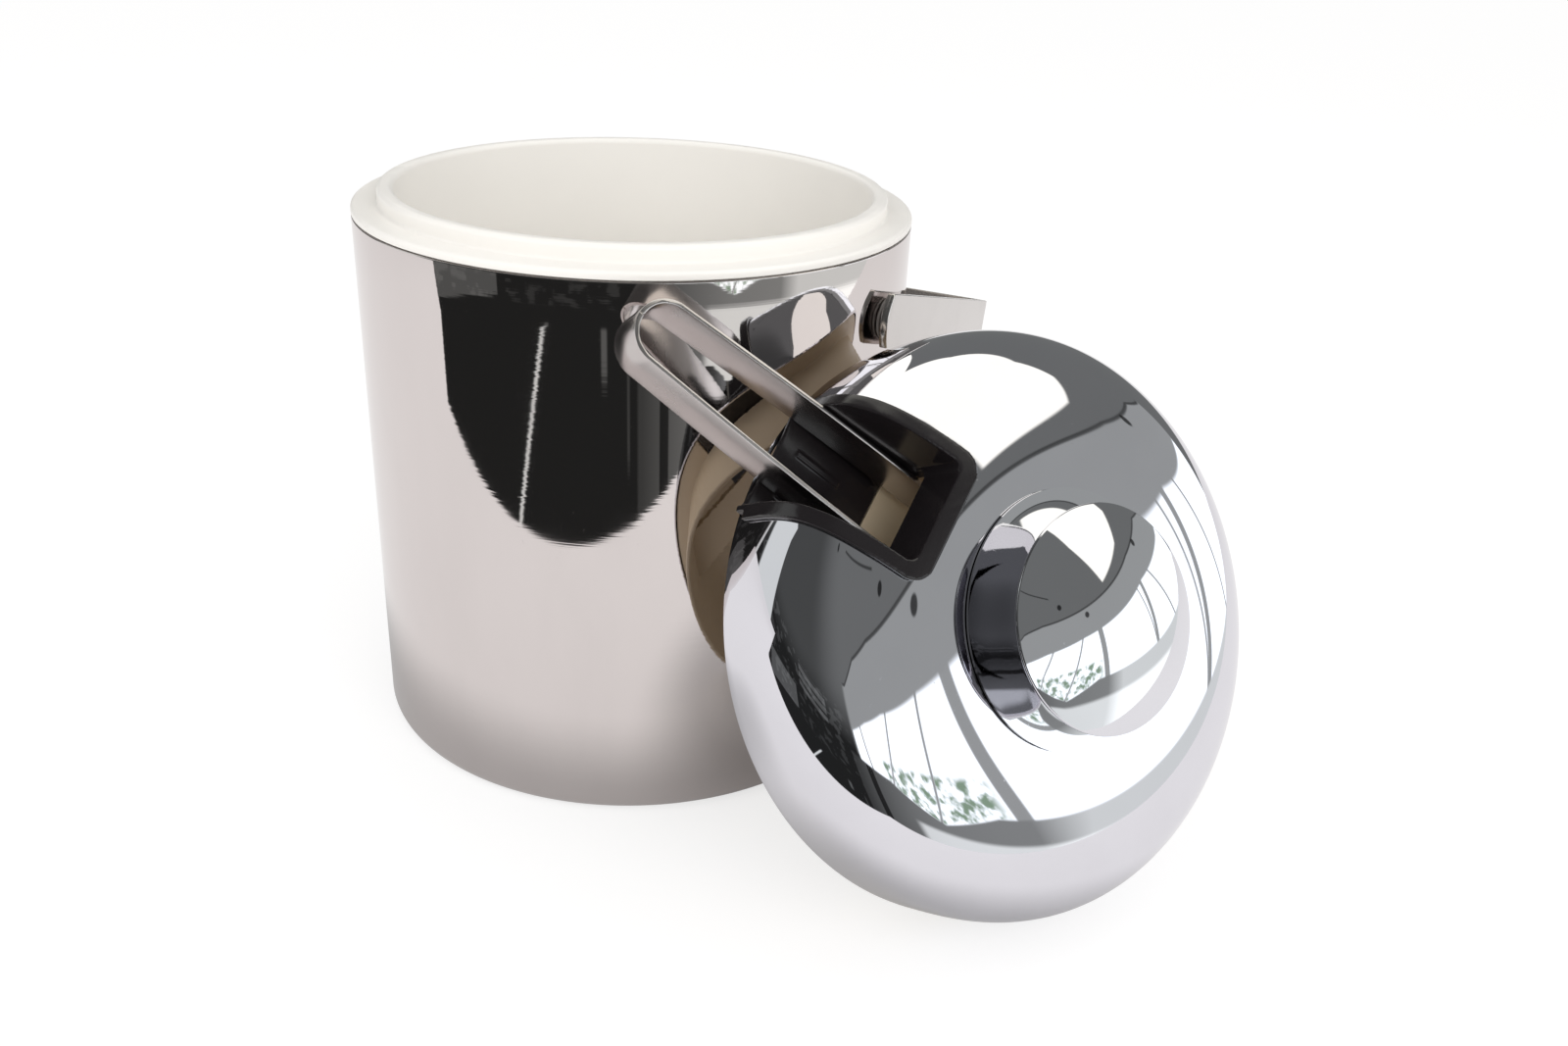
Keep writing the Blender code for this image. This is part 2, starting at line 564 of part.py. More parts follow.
def make_notch_insert(materials):
    """Black moulding: floor, side walls, a lintel and a lip on the dome."""
    def solid(name, grow):
        return turned(name, bun_curve(DOME_RADIUS + grow, DOME_HEIGHT + grow) + [(0.0, 0.0)], None)

    reach = LIP_OUTSIDE_RADIUS + CUT_OVERRUN
    above = LIP_OUTSIDE_HEIGHT + CUT_OVERRUN
    lip_side = NOTCH_HALF_WIDTH + LIP_WIDTH
    wall_side = NOTCH_HALF_WIDTH + NOTCH_WALL
    insert = prism("notch_insert", rounded([
        (reach, -lip_side), (reach, lip_side),
        (NOTCH_END - LIP_END_WIDTH, lip_side, LIP_CORNER), (NOTCH_END - LIP_END_WIDTH, -lip_side, LIP_CORNER),
    ], closed=True), NOTCH_UNDERSIDE, above, materials["black_plastic"])
    skin = solid("lip_outside", SEAT_GAP + LIP_THICKNESS)
    under = solid("lip_underside", SEAT_GAP)
    walls = box("notch_walls", NOTCH_END - NOTCH_WALL, reach + CUT_OVERRUN, -wall_side, wall_side,
                -CUT_OVERRUN, above + CUT_OVERRUN, None)
    combine(under, walls, "DIFFERENCE")
    room = prism("notch_room", rounded([
        (reach + CUT_OVERRUN, -NOTCH_HALF_WIDTH), (reach + CUT_OVERRUN, NOTCH_HALF_WIDTH),
        (NOTCH_END, NOTCH_HALF_WIDTH, NOTCH_CORNER), (NOTCH_END, -NOTCH_HALF_WIDTH, NOTCH_CORNER),
    ], closed=True), NOTCH_FLOOR, above + CUT_OVERRUN, None)
    jamb = NOTCH_HALF_WIDTH - NOTCH_JAMB
    way_in = box("notch_way_in", NOTCH_END - NOTCH_WALL - CUT_OVERRUN, NOTCH_END + NOTCH_CORNER,
                 -jamb, jamb, NOTCH_FLOOR, NOTCH_LINTEL, None)
    sill = [(NOTCH_SILL + NOTCH_SILL_HOLLOW * share ** 2, NOTCH_HALF_WIDTH * share)
            for share in (1 - 2 * step / CURVE_STEPS for step in range(CURVE_STEPS + 1))]
    doorstep = prism("notch_doorstep", sill + [(reach, -NOTCH_HALF_WIDTH), (reach, NOTCH_HALF_WIDTH)],
                     NOTCH_UNDERSIDE - CUT_OVERRUN, NOTCH_FLOOR + NOTCH_WALL, None)
    combine(insert, skin, "INTERSECT")
    combine(insert, under, "DIFFERENCE")
    combine(insert, room, "DIFFERENCE")
    combine(insert, way_in, "DIFFERENCE")
    combine(insert, doorstep, "DIFFERENCE")
    tools = [skin, under, walls, room, way_in, doorstep]
    for name, left, right in (("lip_foot_right", -lip_side - CUT_OVERRUN, -wall_side),
                              ("lip_foot_left", wall_side, lip_side + CUT_OVERRUN)):
        foot = box(name, NOTCH_END, reach + CUT_OVERRUN, left, right,
                   NOTCH_UNDERSIDE - CUT_OVERRUN, LIP_FOOT, None)
        combine(insert, foot, "DIFFERENCE")
        tools.append(foot)
    rib_start, rib_end = (NOTCH_END + (NOTCH_SILL - NOTCH_END) * share for share in RIB_END_SHARES)
    for name, side in (("notch_rib_right", -1), ("notch_rib_left", 1)):
        offset = side * RIB_OFFSET_SHARE * NOTCH_HALF_WIDTH
        rib = box(name, rib_start, rib_end, offset - RIB_WIDTH / 2, offset + RIB_WIDTH / 2,
                  NOTCH_FLOOR - NOTCH_WALL / 2, NOTCH_FLOOR + RIB_HEIGHT, None)
        combine(insert, rib, "UNION")
        tools.append(rib)
    return insert, tools


def make_knob(materials):
    """Waisted neck, crowned cap, and the screw and washer from inside."""
    waist = DOME_HEIGHT + KNOB_WAIST_RISE
    cap_under = DOME_HEIGHT + KNOB_CAP_LIFT
    neck_top = cap_under - SEAT_GAP
    screw_top = SCREW_BORE_TOP - SCREW_BOTTOMING

    def on_dome(radius):
        return bun_height(DOME_RADIUS, DOME_HEIGHT, radius) + SEAT_GAP

    base = [(radius, on_dome(radius)) for radius in
            (SCREW_HOLE_RADIUS + (KNOB_FOOT_RADIUS - SCREW_HOLE_RADIUS) * step / CURVE_STEPS
             for step in range(CURVE_STEPS + 1))]
    foot_top = on_dome(KNOB_FOOT_RADIUS) + KNOB_FOOT_EDGE
    quarter = [math.pi / 2 * step / (2 * ARC_STEPS) for step in range(2 * ARC_STEPS + 1)]
    flare = [(KNOB_FOOT_RADIUS - (KNOB_FOOT_RADIUS - KNOB_WAIST_RADIUS) * math.sin(angle),
              waist - (waist - foot_top) * math.cos(angle)) for angle in quarter]
    throat = [(KNOB_SEAT_RADIUS - (KNOB_SEAT_RADIUS - KNOB_WAIST_RADIUS) * math.cos(angle),
               waist + (neck_top - waist) * math.sin(angle)) for angle in quarter[1:]]
    neck = turned("knob_neck", [(0.0, SCREW_BORE_TOP), (SCREW_HOLE_RADIUS, SCREW_BORE_TOP)] + base + flare + throat
                  + [(0.0, neck_top)], materials["mirror_steel"], 2 * SMALL_TURN_STEPS)

    sphere = (KNOB_CAP_RADIUS ** 2 + KNOB_CAP_CROWN ** 2) / (2 * KNOB_CAP_CROWN)
    spread = math.asin(KNOB_CAP_RADIUS / sphere)
    brim = cap_under + KNOB_CAP_EDGE
    crown = [(sphere * math.sin(spread * (1 - step / CURVE_STEPS)),
              brim + KNOB_CAP_CROWN - sphere * (1 - math.cos(spread * (1 - step / CURVE_STEPS))))
             for step in range(CURVE_STEPS + 1)]
    rim = rounded([(0.0, cap_under), (KNOB_CAP_RADIUS, cap_under, KNOB_CAP_EDGE / 2), crown[0]])
    cap = turned("knob_cap", rim + crown[1:], materials["mirror_steel"], 2 * SMALL_TURN_STEPS)

    washer_top = LID_CEILING - SEAT_GAP
    washer = turned("knob_washer", [
        (SCREW_HOLE_RADIUS, washer_top - WASHER_THICKNESS),
        (WASHER_RADIUS, washer_top - WASHER_THICKNESS),
        (WASHER_RADIUS, washer_top),
        (SCREW_HOLE_RADIUS, washer_top),
    ], materials["satin_steel"], SMALL_TURN_STEPS)
    head_top = washer_top - WASHER_THICKNESS - SEAT_GAP
    screw = turned("knob_screw", rounded([
        (0.0, head_top - SCREW_HEAD_HEIGHT),
        (SCREW_HEAD_RADIUS, head_top - SCREW_HEAD_HEIGHT, SCREW_HEAD_HEIGHT / 2),
        (SCREW_HEAD_RADIUS, head_top),
        (SCREW_RADIUS, head_top),
        (SCREW_RADIUS, screw_top),
        (0.0, screw_top),
    ]), materials["satin_steel"], SMALL_TURN_STEPS)
    return neck, cap, washer, screw


# Making the tongs
def tongs_matrix():
    """Frame of the tongs in the lid: X out of the notch, Z up the strip.

    The strip's lower edge rests on the outer edge of the notch's floor, and
    its tips lean up into the lid, clear of the liner's ceiling.
    """
    sill = NOTCH_SILL + NOTCH_SILL_HOLLOW
    seat = NOTCH_FLOOR + SEAT_GAP
    tip_rise = LID_CEILING - TIP_HEADROOM - STRIP_WIDTH - seat
    dip = math.atan(tip_rise / (sill + ARM_LENGTH - TONGS_REACH))
    lower_edge = seat - (TONGS_REACH - sill) * math.tan(dip)
    middle = lower_edge + STRIP_WIDTH / 2 / math.cos(dip)
    return (Matrix.Translation((TONGS_REACH, TONGS_OFFSET, middle))
            @ Matrix.Rotation(dip, 4, "Y") @ Matrix.Rotation(TONGS_SWING, 4, "Z"))


def make_tong_bow(materials):
    """Half ring of strip; the arms begin where it ends."""
    half_turn = [math.pi * step / (2 * CURVE_STEPS) - math.pi / 2 for step in range(2 * CURVE_STEPS + 1)]
    inside = BOW_RADIUS - STRIP_THICKNESS
    outline = [(BOW_RADIUS * math.cos(angle), BOW_RADIUS * math.sin(angle)) for angle in half_turn]
    outline += [(inside * math.cos(angle), inside * math.sin(angle)) for angle in reversed(half_turn)]
    return prism("tong_bow", outline, -STRIP_WIDTH / 2, STRIP_WIDTH / 2, materials["satin_steel"])


def make_tong_arm(name, side, materials):
    """One arm: a strip that spreads, then runs on straight to a rounded tip.

    The arm's own origin is on its hinge line, at the end of the bow.
    """
    half = STRIP_WIDTH / 2
    middle_line = []
    for step in range(CURVE_STEPS + 1):
        along = SEAT_GAP + (ARM_LENGTH - SEAT_GAP) * step / CURVE_STEPS
        spread = ARM_FLARE * math.sin(math.pi / 2 * min(along / ARM_FLARE_LENGTH, 1.0))
        middle_line.append((-along, side * spread))
    outline = [(x, y + STRIP_THICKNESS / 2) for x, y in middle_line]
    outline += [(x, y - STRIP_THICKNESS / 2) for x, y in reversed(middle_line)]
    arm = prism(name, outline, -half, half, materials["satin_steel"])
    # Read the outline's x as X, its y as Z, and raise it along Y.
    upright = Matrix(((1, 0, 0, 0), (0, 0, 1, 0), (0, 1, 0, 0), (0, 0, 0, 1)))
    reach = ARM_FLARE + STRIP_THICKNESS + CUT_OVERRUN
    trim = prism(name + "_side_view", rounded([
        (CUT_OVERRUN, half + CUT_OVERRUN), (CUT_OVERRUN, -half - CUT_OVERRUN),
        (-ARM_LENGTH + ARM_TIP_CORNER + CUT_OVERRUN, -half - CUT_OVERRUN),
        (-ARM_LENGTH + ARM_TIP_CORNER + CUT_OVERRUN, -half),
        (-ARM_LENGTH, -half, ARM_TIP_CORNER), (-ARM_LENGTH, half, ARM_TIP_CORNER),
        (-ARM_LENGTH + ARM_TIP_CORNER + CUT_OVERRUN, half),
        (-ARM_LENGTH + ARM_TIP_CORNER + CUT_OVERRUN, half + CUT_OVERRUN),
    ], closed=True), -reach, reach, None, upright)
    combine(arm, trim, "INTERSECT")
    arm.location = (0.0, side * STRIP_MIDDLE, 0.0)
    trim.location = arm.location
    return arm, trim


def clear_scene():
    for thing in list(bpy.data.objects):
        bpy.data.objects.remove(thing, do_unlink=True)


def main():
    clear_scene()
    materials = make_materials()

    make_outer_shell(materials)
    make_base_pad(materials)
    make_inner_liner(materials)
    make_bucket_insulation(materials)

    bail_frame = empty("bail_frame", bail_matrix())
    put_under(bail_frame, *make_bail_handle(materials))
    make_stud_set("right", 0.0, materials)
    make_stud_set("left", math.pi, materials)

    lid_frame = empty("lid_frame", lid_matrix())
    notch_cutter = make_notch_cutter()
    insert, insert_tools = make_notch_insert(materials)
    put_under(lid_frame, notch_cutter, insert, *insert_tools,
              make_lid_dome(materials, notch_cutter), make_lid_liner(materials, notch_cutter),
              make_lid_insulation(materials), *make_knob(materials))

    tongs_frame = empty("tongs_frame", lid_matrix() @ tongs_matrix())
    put_under(tongs_frame, make_tong_bow(materials),
              *make_tong_arm("tong_arm_upper", -1, materials),
              *make_tong_arm("tong_arm_lower", 1, materials))
    bpy.context.view_layer.update()


main()
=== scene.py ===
"""Looks of an insulated steel ice bucket, its leaning lid and its strip tongs.

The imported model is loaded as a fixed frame.  Each sub-assembly is a class
that models its visible pieces around that frame and dresses them.
"""
from __future__ import annotations

import logging
import math
from collections.abc import Sequence
from dataclasses import dataclass
from enum import Enum

import bpy
from mathutils import Matrix, Vector


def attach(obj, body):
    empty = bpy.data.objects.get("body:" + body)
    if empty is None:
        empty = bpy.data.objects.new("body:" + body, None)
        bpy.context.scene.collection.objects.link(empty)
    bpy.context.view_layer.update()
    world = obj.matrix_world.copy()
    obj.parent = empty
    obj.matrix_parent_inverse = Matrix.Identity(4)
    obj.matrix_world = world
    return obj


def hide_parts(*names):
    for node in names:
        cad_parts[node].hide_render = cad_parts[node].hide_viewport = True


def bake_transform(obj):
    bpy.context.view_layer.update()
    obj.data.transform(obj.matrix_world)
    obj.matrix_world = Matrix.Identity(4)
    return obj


log = logging.getLogger("ice_bucket")

MM = 0.001
SEAT_GAP = 0.3 * MM
START_SIZE = 1.0 * MM
TURN_STEPS = 224
MEDIUM_TURN_STEPS = 144
KNOB_TURN_STEPS = 160
SMALL_TURN_STEPS = 64
OVERRUN = 3.0 * MM
MERGE = 1e-6
EDGE_BREAK = 0.3 * MM
VOXEL = 0.3 * MM

Point = tuple[float, float, float]
Flat = tuple[float, float]


# Shader maths
class Shade:
    """A socket that adds Math nodes when it is used in an expression."""

    def __init__(self, book: "NodeBook", socket: bpy.types.NodeSocket) -> None:
        """Keeps the socket and the book that adds nodes."""
        self.book = book
        self.socket = socket

    def _with(self, operation: str, *others: "Shade | float") -> "Shade":
        """Adds one Math node."""
        return self.book.maths(operation, self, *others)

    def __add__(self, other: "Shade | float") -> "Shade":
        """Sum."""
        return self._with("ADD", other)

    __radd__ = __add__

    def __sub__(self, other: "Shade | float") -> "Shade":
        """Difference."""
        return self._with("SUBTRACT", other)

    def __rsub__(self, other: float) -> "Shade":
        """Difference from a number."""
        return self.book.maths("SUBTRACT", other, self)

    def __mul__(self, other: "Shade | float") -> "Shade":
        """Product."""
        return self._with("MULTIPLY", other)

    __rmul__ = __mul__

    def __pow__(self, other: float) -> "Shade":
        """Power."""
        return self._with("POWER", other)

    def size(self) -> "Shade":
        """The value without its sign."""
        return self._with("ABSOLUTE")

    def most(self, other: "Shade | float") -> "Shade":
        """The larger of two values."""
        return self._with("MAXIMUM", other)

    def within(self, reach: float, soft: float = 0.4) -> "Shade":
        """One where the value is nearer to zero than a reach."""
        return self.size().eased(reach - soft / 2, reach + soft / 2, 1.0, 0.0)

    def past(self, edge: "Shade | float", soft: float = 0.8) -> "Shade":
        """One where the value lies past an edge."""
        return (self - edge).eased(-soft / 2, soft / 2)

    def bent(self, *corners: Flat) -> "Shade":
        """Height of a line of straight stretches over the value.

        Args:
            corners: The line's corners (value, height), in order.

        Returns:
            The height, level beyond both ends.
        """
        height: Shade | float = corners[0][1]
        for (start, low), (end, high) in zip(corners, corners[1:]):
            node = self.book.add("ShaderNodeMapRange", {"clamp": True}, {
                "Value": self, "From Min": start, "From Max": end, "To Min": 0.0, "To Max": high - low})
            height = Shade(self.book, node.outputs["Result"]) + height
        return height

    def wrapped(self, top: float) -> "Shade":
        """The value wrapped between zero and a top."""
        return self._with("WRAP", top, 0.0)

    def eased(self, start: float, end: float, low: float = 0.0, high: float = 1.0) -> "Shade":
        """The value eased from low to high between two ends."""
        node = self.book.add("ShaderNodeMapRange", {"interpolation_type": "SMOOTHSTEP", "clamp": True}, {
            "Value": self, "From Min": start, "From Max": end, "To Min": low, "To Max": high})
        return Shade(self.book, node.outputs["Result"])


class NodeBook:
    """Adds the nodes of one material or world."""

    def __init__(self, tree: bpy.types.NodeTree) -> None:
        """Clears the tree that will be filled."""
        self.tree = tree
        tree.nodes.clear()

    def add(self, kind: str, settings: dict | None = None, inputs: dict | None = None) -> bpy.types.Node:
        """Adds a node, sets it up, then fills its sockets.

        Args:
            kind: The node's type.
            settings: Properties by name.
            inputs: Values, sockets or shades by socket name or number.

        Returns:
            The node.
        """
        node = self.tree.nodes.new(kind)
        for key, value in (settings or {}).items():
            setattr(node, key, value)
        for key, value in (inputs or {}).items():
            socket = node.inputs[key]
            if isinstance(value, Shade):
                self.tree.links.new(value.socket, socket)
            elif isinstance(value, bpy.types.NodeSocket):
                self.tree.links.new(value, socket)
            else:
                socket.default_value = value
        return node

    def maths(self, operation: str, *values: Shade | float) -> Shade:
        """Adds a Math node."""
        node = self.add("ShaderNodeMath", {"operation": operation}, dict(enumerate(values)))
        return Shade(self, node.outputs[0])

    def mix_colour(self, factor: Shade | float, first: object, second: object) -> bpy.types.NodeSocket:
        """Mixes two colours."""
        node = self.add("ShaderNodeMix", {"data_type": "RGBA"}, {"Factor": factor, 6: first, 7: second})
        return node.outputs[2]

    def place(self, turn: Point = (0.0, 0.0, 0.0), shift: Point = (0.0, 0.0, 0.0)) -> bpy.types.NodeSocket:
        """Object coordinates, moved and turned onto a piece.

        Args:
            turn: Euler angles.
            shift: Location.

        Returns:
            The vector socket.
        """
        coordinates = self.add("ShaderNodeTexCoord")
        mapping = self.add("ShaderNodeMapping", {"vector_type": "POINT"}, {
            "Vector": coordinates.outputs["Object"], "Location": shift, "Rotation": turn})
        return mapping.outputs[0]

    def stretched(self, vector: bpy.types.NodeSocket, scale: Point) -> bpy.types.NodeSocket:
        """Scales a vector."""
        node = self.add("ShaderNodeVectorMath", {"operation": "MULTIPLY"}, {0: vector, 1: scale})
        return node.outputs[0]

    def noise(self, vector: bpy.types.NodeSocket, scale: float, detail: float) -> Shade:
        """Adds a noise texture, whose values lie about one half."""
        node = self.add("ShaderNodeTexNoise", {"noise_dimensions": "3D"}, {
            "Vector": vector, "Scale": scale, "Detail": detail})
        return Shade(self, node.outputs[0])

    def surface(self, values: dict) -> None:
        """Adds the Principled shader and the output."""
        shader = self.add("ShaderNodeBsdfPrincipled", {}, values)
        self.add("ShaderNodeOutputMaterial", {}, {"Surface": shader.outputs[0]})

    def bump(self, height: Shade, depth: float) -> bpy.types.NodeSocket:
        """Adds a bump whose height is in units of a real depth."""
        node = self.add("ShaderNodeBump", {}, {"Height": height, "Distance": depth, "Strength": 1.0})
        return node.outputs[0]

    def rays(self) -> tuple[Shade, Shade]:
        """One for rays from the camera, and one for mirrored rays."""
        node = self.add("ShaderNodeLightPath")
        return Shade(self, node.outputs["Is Camera Ray"]), Shade(self, node.outputs["Is Glossy Ray"])


# Finishes
@dataclass(frozen=True)
class Finish:
    """What every finish has: its name, colour and roughness."""

    name: str
    colour: Point
    roughness: float
    turn: Point = (0.0, 0.0, 0.0)
    shift: Point = (0.0, 0.0, 0.0)

    def start(self) -> tuple[bpy.types.Material, NodeBook]:
        """Adds an empty material.

        Returns:
            The material and its node book.
        """
        material = bpy.data.materials.new(self.name)
        material.use_nodes = True
        material.diffuse_color = self.paint()
        return material, NodeBook(material.node_tree)

    def paint(self, share: float = 1.0) -> tuple[float, float, float, float]:
        """The colour at a share of its brightness, with full alpha."""
        return (*(part * share for part in self.colour), 1.0)


@dataclass(frozen=True)
class MirrorSteel(Finish):
    """Polished metal with fine turning lines and faint wipe marks."""

    line_depth: float = 0.00002 * MM
    line_scale: float = 2600.0
    wave_depth: float = 0.004 * MM

    def make(self) -> bpy.types.Material:
        """Builds the material.

        Returns:
            The material.
        """
        material, book = self.start()
        place = book.place(self.turn, self.shift)
        lines = book.noise(book.stretched(place, (6.0, 6.0, self.line_scale)), 1.0, 3.0)
        wave = book.noise(place, 28.0, 1.0)
        wipe = book.noise(book.stretched(place, (60.0, 60.0, 25.0)), 1.0, 5.0)
        specks = book.noise(place, 900.0, 2.0).eased(0.72, 0.80)
        tint = book.mix_colour(wipe.eased(0.35, 0.75) * 0.35, self.paint(), self.paint(0.93))
        rough = wipe.eased(0.45, 0.8, self.roughness, self.roughness * 1.9) + specks * 0.12
        lined = book.bump(lines, self.line_depth)
        waved = book.add("ShaderNodeBump", {}, {
            "Height": wave, "Distance": self.wave_depth, "Strength": 0.5, "Normal": lined})
        book.surface({"Base Color": tint, "Metallic": 1.0, "Roughness": rough, "Normal": waved.outputs[0]})
        return material


@dataclass(frozen=True)
class SatinSteel(Finish):
    """Tumbled strip steel with a soft grain along the strip."""

    grain: Point = (1200.0, 60.0, 60.0)
    grain_depth: float = 0.0012 * MM

    def make(self) -> bpy.types.Material:
        """Builds the material.

        Returns:
            The material.
        """
        material, book = self.start()
        place = book.place(self.turn, self.shift)
        grain = book.noise(book.stretched(place, self.grain), 1.0, 4.0)
        cloud = book.noise(place, 90.0, 3.0)
        rough = cloud.eased(0.3, 0.75, self.roughness * 0.85, self.roughness * 1.3)
        tint = book.mix_colour(cloud.eased(0.4, 0.8) * 0.3, self.paint(), self.paint(0.9))
        book.surface({"Base Color": tint, "Metallic": 1.0, "Roughness": rough,
                      "Normal": book.bump(grain, self.grain_depth)})
        return material


@dataclass(frozen=True)
class MouldedPlastic(Finish):
    """Injection-moulded plastic with a faint skin texture."""

    mottle: float = 0.05
    skin_depth: float = 0.003 * MM

    def make(self) -> bpy.types.Material:
        """Builds the material.

        Returns:
            The material.
        """
        material, book = self.start()
        place = book.place(self.turn, self.shift)
        flow = book.noise(place, 22.0, 3.0)
        skin = book.noise(place, 1500.0, 2.0)
        scuff = book.noise(book.stretched(place, (200.0, 200.0, 900.0)), 1.0, 3.0)
        tint = book.mix_colour(flow.eased(0.35, 0.7), self.paint(), self.paint(1.0 - self.mottle))
        rough = scuff.eased(0.45, 0.8, self.roughness, min(self.roughness * 1.5, 1.0))
        book.surface({"Base Color": tint, "Roughness": rough, "Normal": book.bump(skin, self.skin_depth)})
        return material


@dataclass(frozen=True)
class CellFoam(Finish):
    """Blown foam: an open, matt cell pattern."""

    cell_depth: float = 0.1 * MM

    def make(self) -> bpy.types.Material:
        """Builds the material.

        Returns:
            The material.
        """
        material, book = self.start()
        place = book.place()
        cells = book.add("ShaderNodeTexVoronoi", {"feature": "DISTANCE_TO_EDGE"}, {
            "Vector": place, "Scale": 700.0})
        wall = Shade(book, cells.outputs["Distance"]).eased(0.0, 0.12)
        tint = book.mix_colour(wall, self.paint(0.8), self.paint())
        book.surface({"Base Color": tint, "Roughness": self.roughness,
                      "Normal": book.bump(wall, self.cell_depth)})
        return material


# Workbench
class Join(Enum):
    """What a Boolean does with its tool."""

    ADD = "UNION"
    CUT = "DIFFERENCE"
    TRIM = "INTERSECT"


class Bench:
    """Modelling steps, done as by hand with Blender's operators."""

    @staticmethod
    def only(piece: bpy.types.Object) -> None:
        """Selects one object and makes it active.

        Args:
            piece: The object.
        """
        bpy.ops.object.select_all(action="DESELECT")
        piece.select_set(True)
        bpy.context.view_layer.objects.active = piece

    @classmethod
    def applied(cls, piece: bpy.types.Object, step: bpy.types.Modifier) -> None:
        """Applies one modifier."""
        cls.only(piece)
        bpy.ops.object.modifier_apply(modifier=step.name)

    @staticmethod
    def drawn(name: str, points: Sequence[Point], closed: bool) -> bpy.types.Object:
        """Draws a line of vertices by extruding one vertex.

        Args:
            name: The object's name.
            points: The places it passes.
            closed: Whether it returns to its start.

        Returns:
            The object, left in object mode.
        """
        bpy.ops.object.select_all(action="DESELECT")
        bpy.ops.mesh.primitive_plane_add(size=START_SIZE)
        piece = bpy.context.object
        piece.name = name
        piece.data.name = name
        bpy.ops.object.mode_set(mode="EDIT")
        bpy.ops.mesh.select_all(action="SELECT")
        bpy.ops.mesh.merge(type="CENTER")
        bpy.ops.transform.translate(value=points[0])
        path = list(points) + ([points[0]] if closed else [])
        for before, after in zip(path, path[1:]):
            step = tuple(b - a for a, b in zip(before, after))
            bpy.ops.mesh.extrude_region_move(TRANSFORM_OT_translate={"value": step})
        bpy.ops.mesh.select_all(action="SELECT")
        bpy.ops.mesh.remove_doubles(threshold=MERGE)
        bpy.ops.object.mode_set(mode="OBJECT")
        return piece

    @classmethod
    def closed_up(cls, piece: bpy.types.Object) -> None:
        """Merges a piece's doubles and points its faces outwards.

        Args:
            piece: The object.
        """
        cls.only(piece)
        bpy.ops.object.mode_set(mode="EDIT")
        bpy.ops.mesh.select_all(action="SELECT")
        bpy.ops.mesh.remove_doubles(threshold=MERGE)
        bpy.ops.mesh.normals_make_consistent(inside=False)
        bpy.ops.object.mode_set(mode="OBJECT")

    @classmethod
    def turned(cls, name: str, outline: Sequence[Flat], steps: int = TURN_STEPS) -> bpy.types.Object:
        """Turns an outline of (radius, height) points about Z.

        Args:
            name: The object's name.
            outline: The outline; it is closed unless both ends lie on the axis.
            steps: Steps of a full turn.

        Returns:
            The object.
        """
        closed = outline[0][0] > 0.0 or outline[-1][0] > 0.0
        piece = cls.drawn(name, [(radius, 0.0, height) for radius, height in outline], closed)
        screw = piece.modifiers.new("turn", "SCREW")
        screw.angle = 2 * math.pi
        screw.steps = screw.render_steps = steps
        screw.use_merge_vertices = True
        screw.merge_threshold = MERGE
        cls.applied(piece, screw)
        cls.closed_up(piece)
        return piece

    @classmethod
    def raised(cls, name: str, outline: Sequence[Flat], low: float, high: float) -> bpy.types.Object:
        """Raises a closed outline of (x, y) points between two heights.

        Args:
            name: The object's name.
            outline: The outline.
            low: The lower height.
            high: The upper height.

        Returns:
            The object.
        """
        piece = cls.drawn(name, [(x, y, low) for x, y in outline], True)
        bpy.ops.object.mode_set(mode="EDIT")
        bpy.ops.mesh.select_all(action="SELECT")
        bpy.ops.mesh.edge_face_add()
        bpy.ops.mesh.extrude_region_move(TRANSFORM_OT_translate={"value": (0.0, 0.0, high - low)})
        bpy.ops.object.mode_set(mode="OBJECT")
        cls.closed_up(piece)
        return piece

    @classmethod
    def block(cls, name: str, start: Point, end: Point) -> bpy.types.Object:
        """Models a block between its lowest and its highest corner."""
        (left, near, low), (right, far, high) = start, end
        return cls.raised(name, [(left, near), (right, near), (right, far), (left, far)], low, high)

    @classmethod
    def joined(cls, piece: bpy.types.Object, tool: bpy.types.Object, join: Join) -> None:
        """Applies a Boolean and removes its tool.

        Args:
            piece: The object that stays.
            tool: The object that is used up.
            join: What is done with the tool.
        """
        step = piece.modifiers.new("boolean", "BOOLEAN")
        step.operation = join.value
        step.solver = "EXACT"
        step.object = tool
        cls.applied(piece, step)
        bpy.data.objects.remove(tool, do_unlink=True)

    @classmethod
    def softened(cls, piece: bpy.types.Object, angle: float = 40.0, segments: int = 3) -> None:
        """Rounds the edges that are sharper than an angle.

        Args:
            piece: The object.
            angle: The angle in degrees.
            segments: Steps of each rounding.
        """
        bevel = piece.modifiers.new("edges", "BEVEL")
        bevel.width = EDGE_BREAK
        bevel.segments = segments
        bevel.limit_method = "ANGLE"
        bevel.angle_limit = math.radians(angle)
        bevel.use_clamp_overlap = True
        cls.applied(piece, bevel)

    @classmethod
    def smoothed(cls, piece: bpy.types.Object, angle: float = 35.0) -> None:
        """Shades a piece smooth up to an angle."""
        cls.only(piece)
        bpy.ops.object.shade_smooth_by_angle(angle=math.radians(angle), keep_sharp_edges=False)

    @classmethod
    def set_down(cls, piece: bpy.types.Object, place: Matrix) -> None:
        """Moves a piece to its place and leaves its object at the origin.

        Args:
            piece: The object.
            place: Where its own frame goes.
        """
        piece.matrix_world = place
        cls.only(piece)
        bpy.ops.object.transform_apply(location=True, rotation=True, scale=True)

    @classmethod
    def placed(cls, piece: bpy.types.Object, place: Matrix, angle: float = 35.0) -> bpy.types.Object:
        """Sets a finished shape down and shades it.

        Args:
            piece: The object.
            place: Where its own frame goes.
            angle: Edges below this angle in degrees are shaded smooth.

        Returns:
            The object.
        """
        cls.set_down(piece, place)
        cls.smoothed(piece, angle)
        return piece

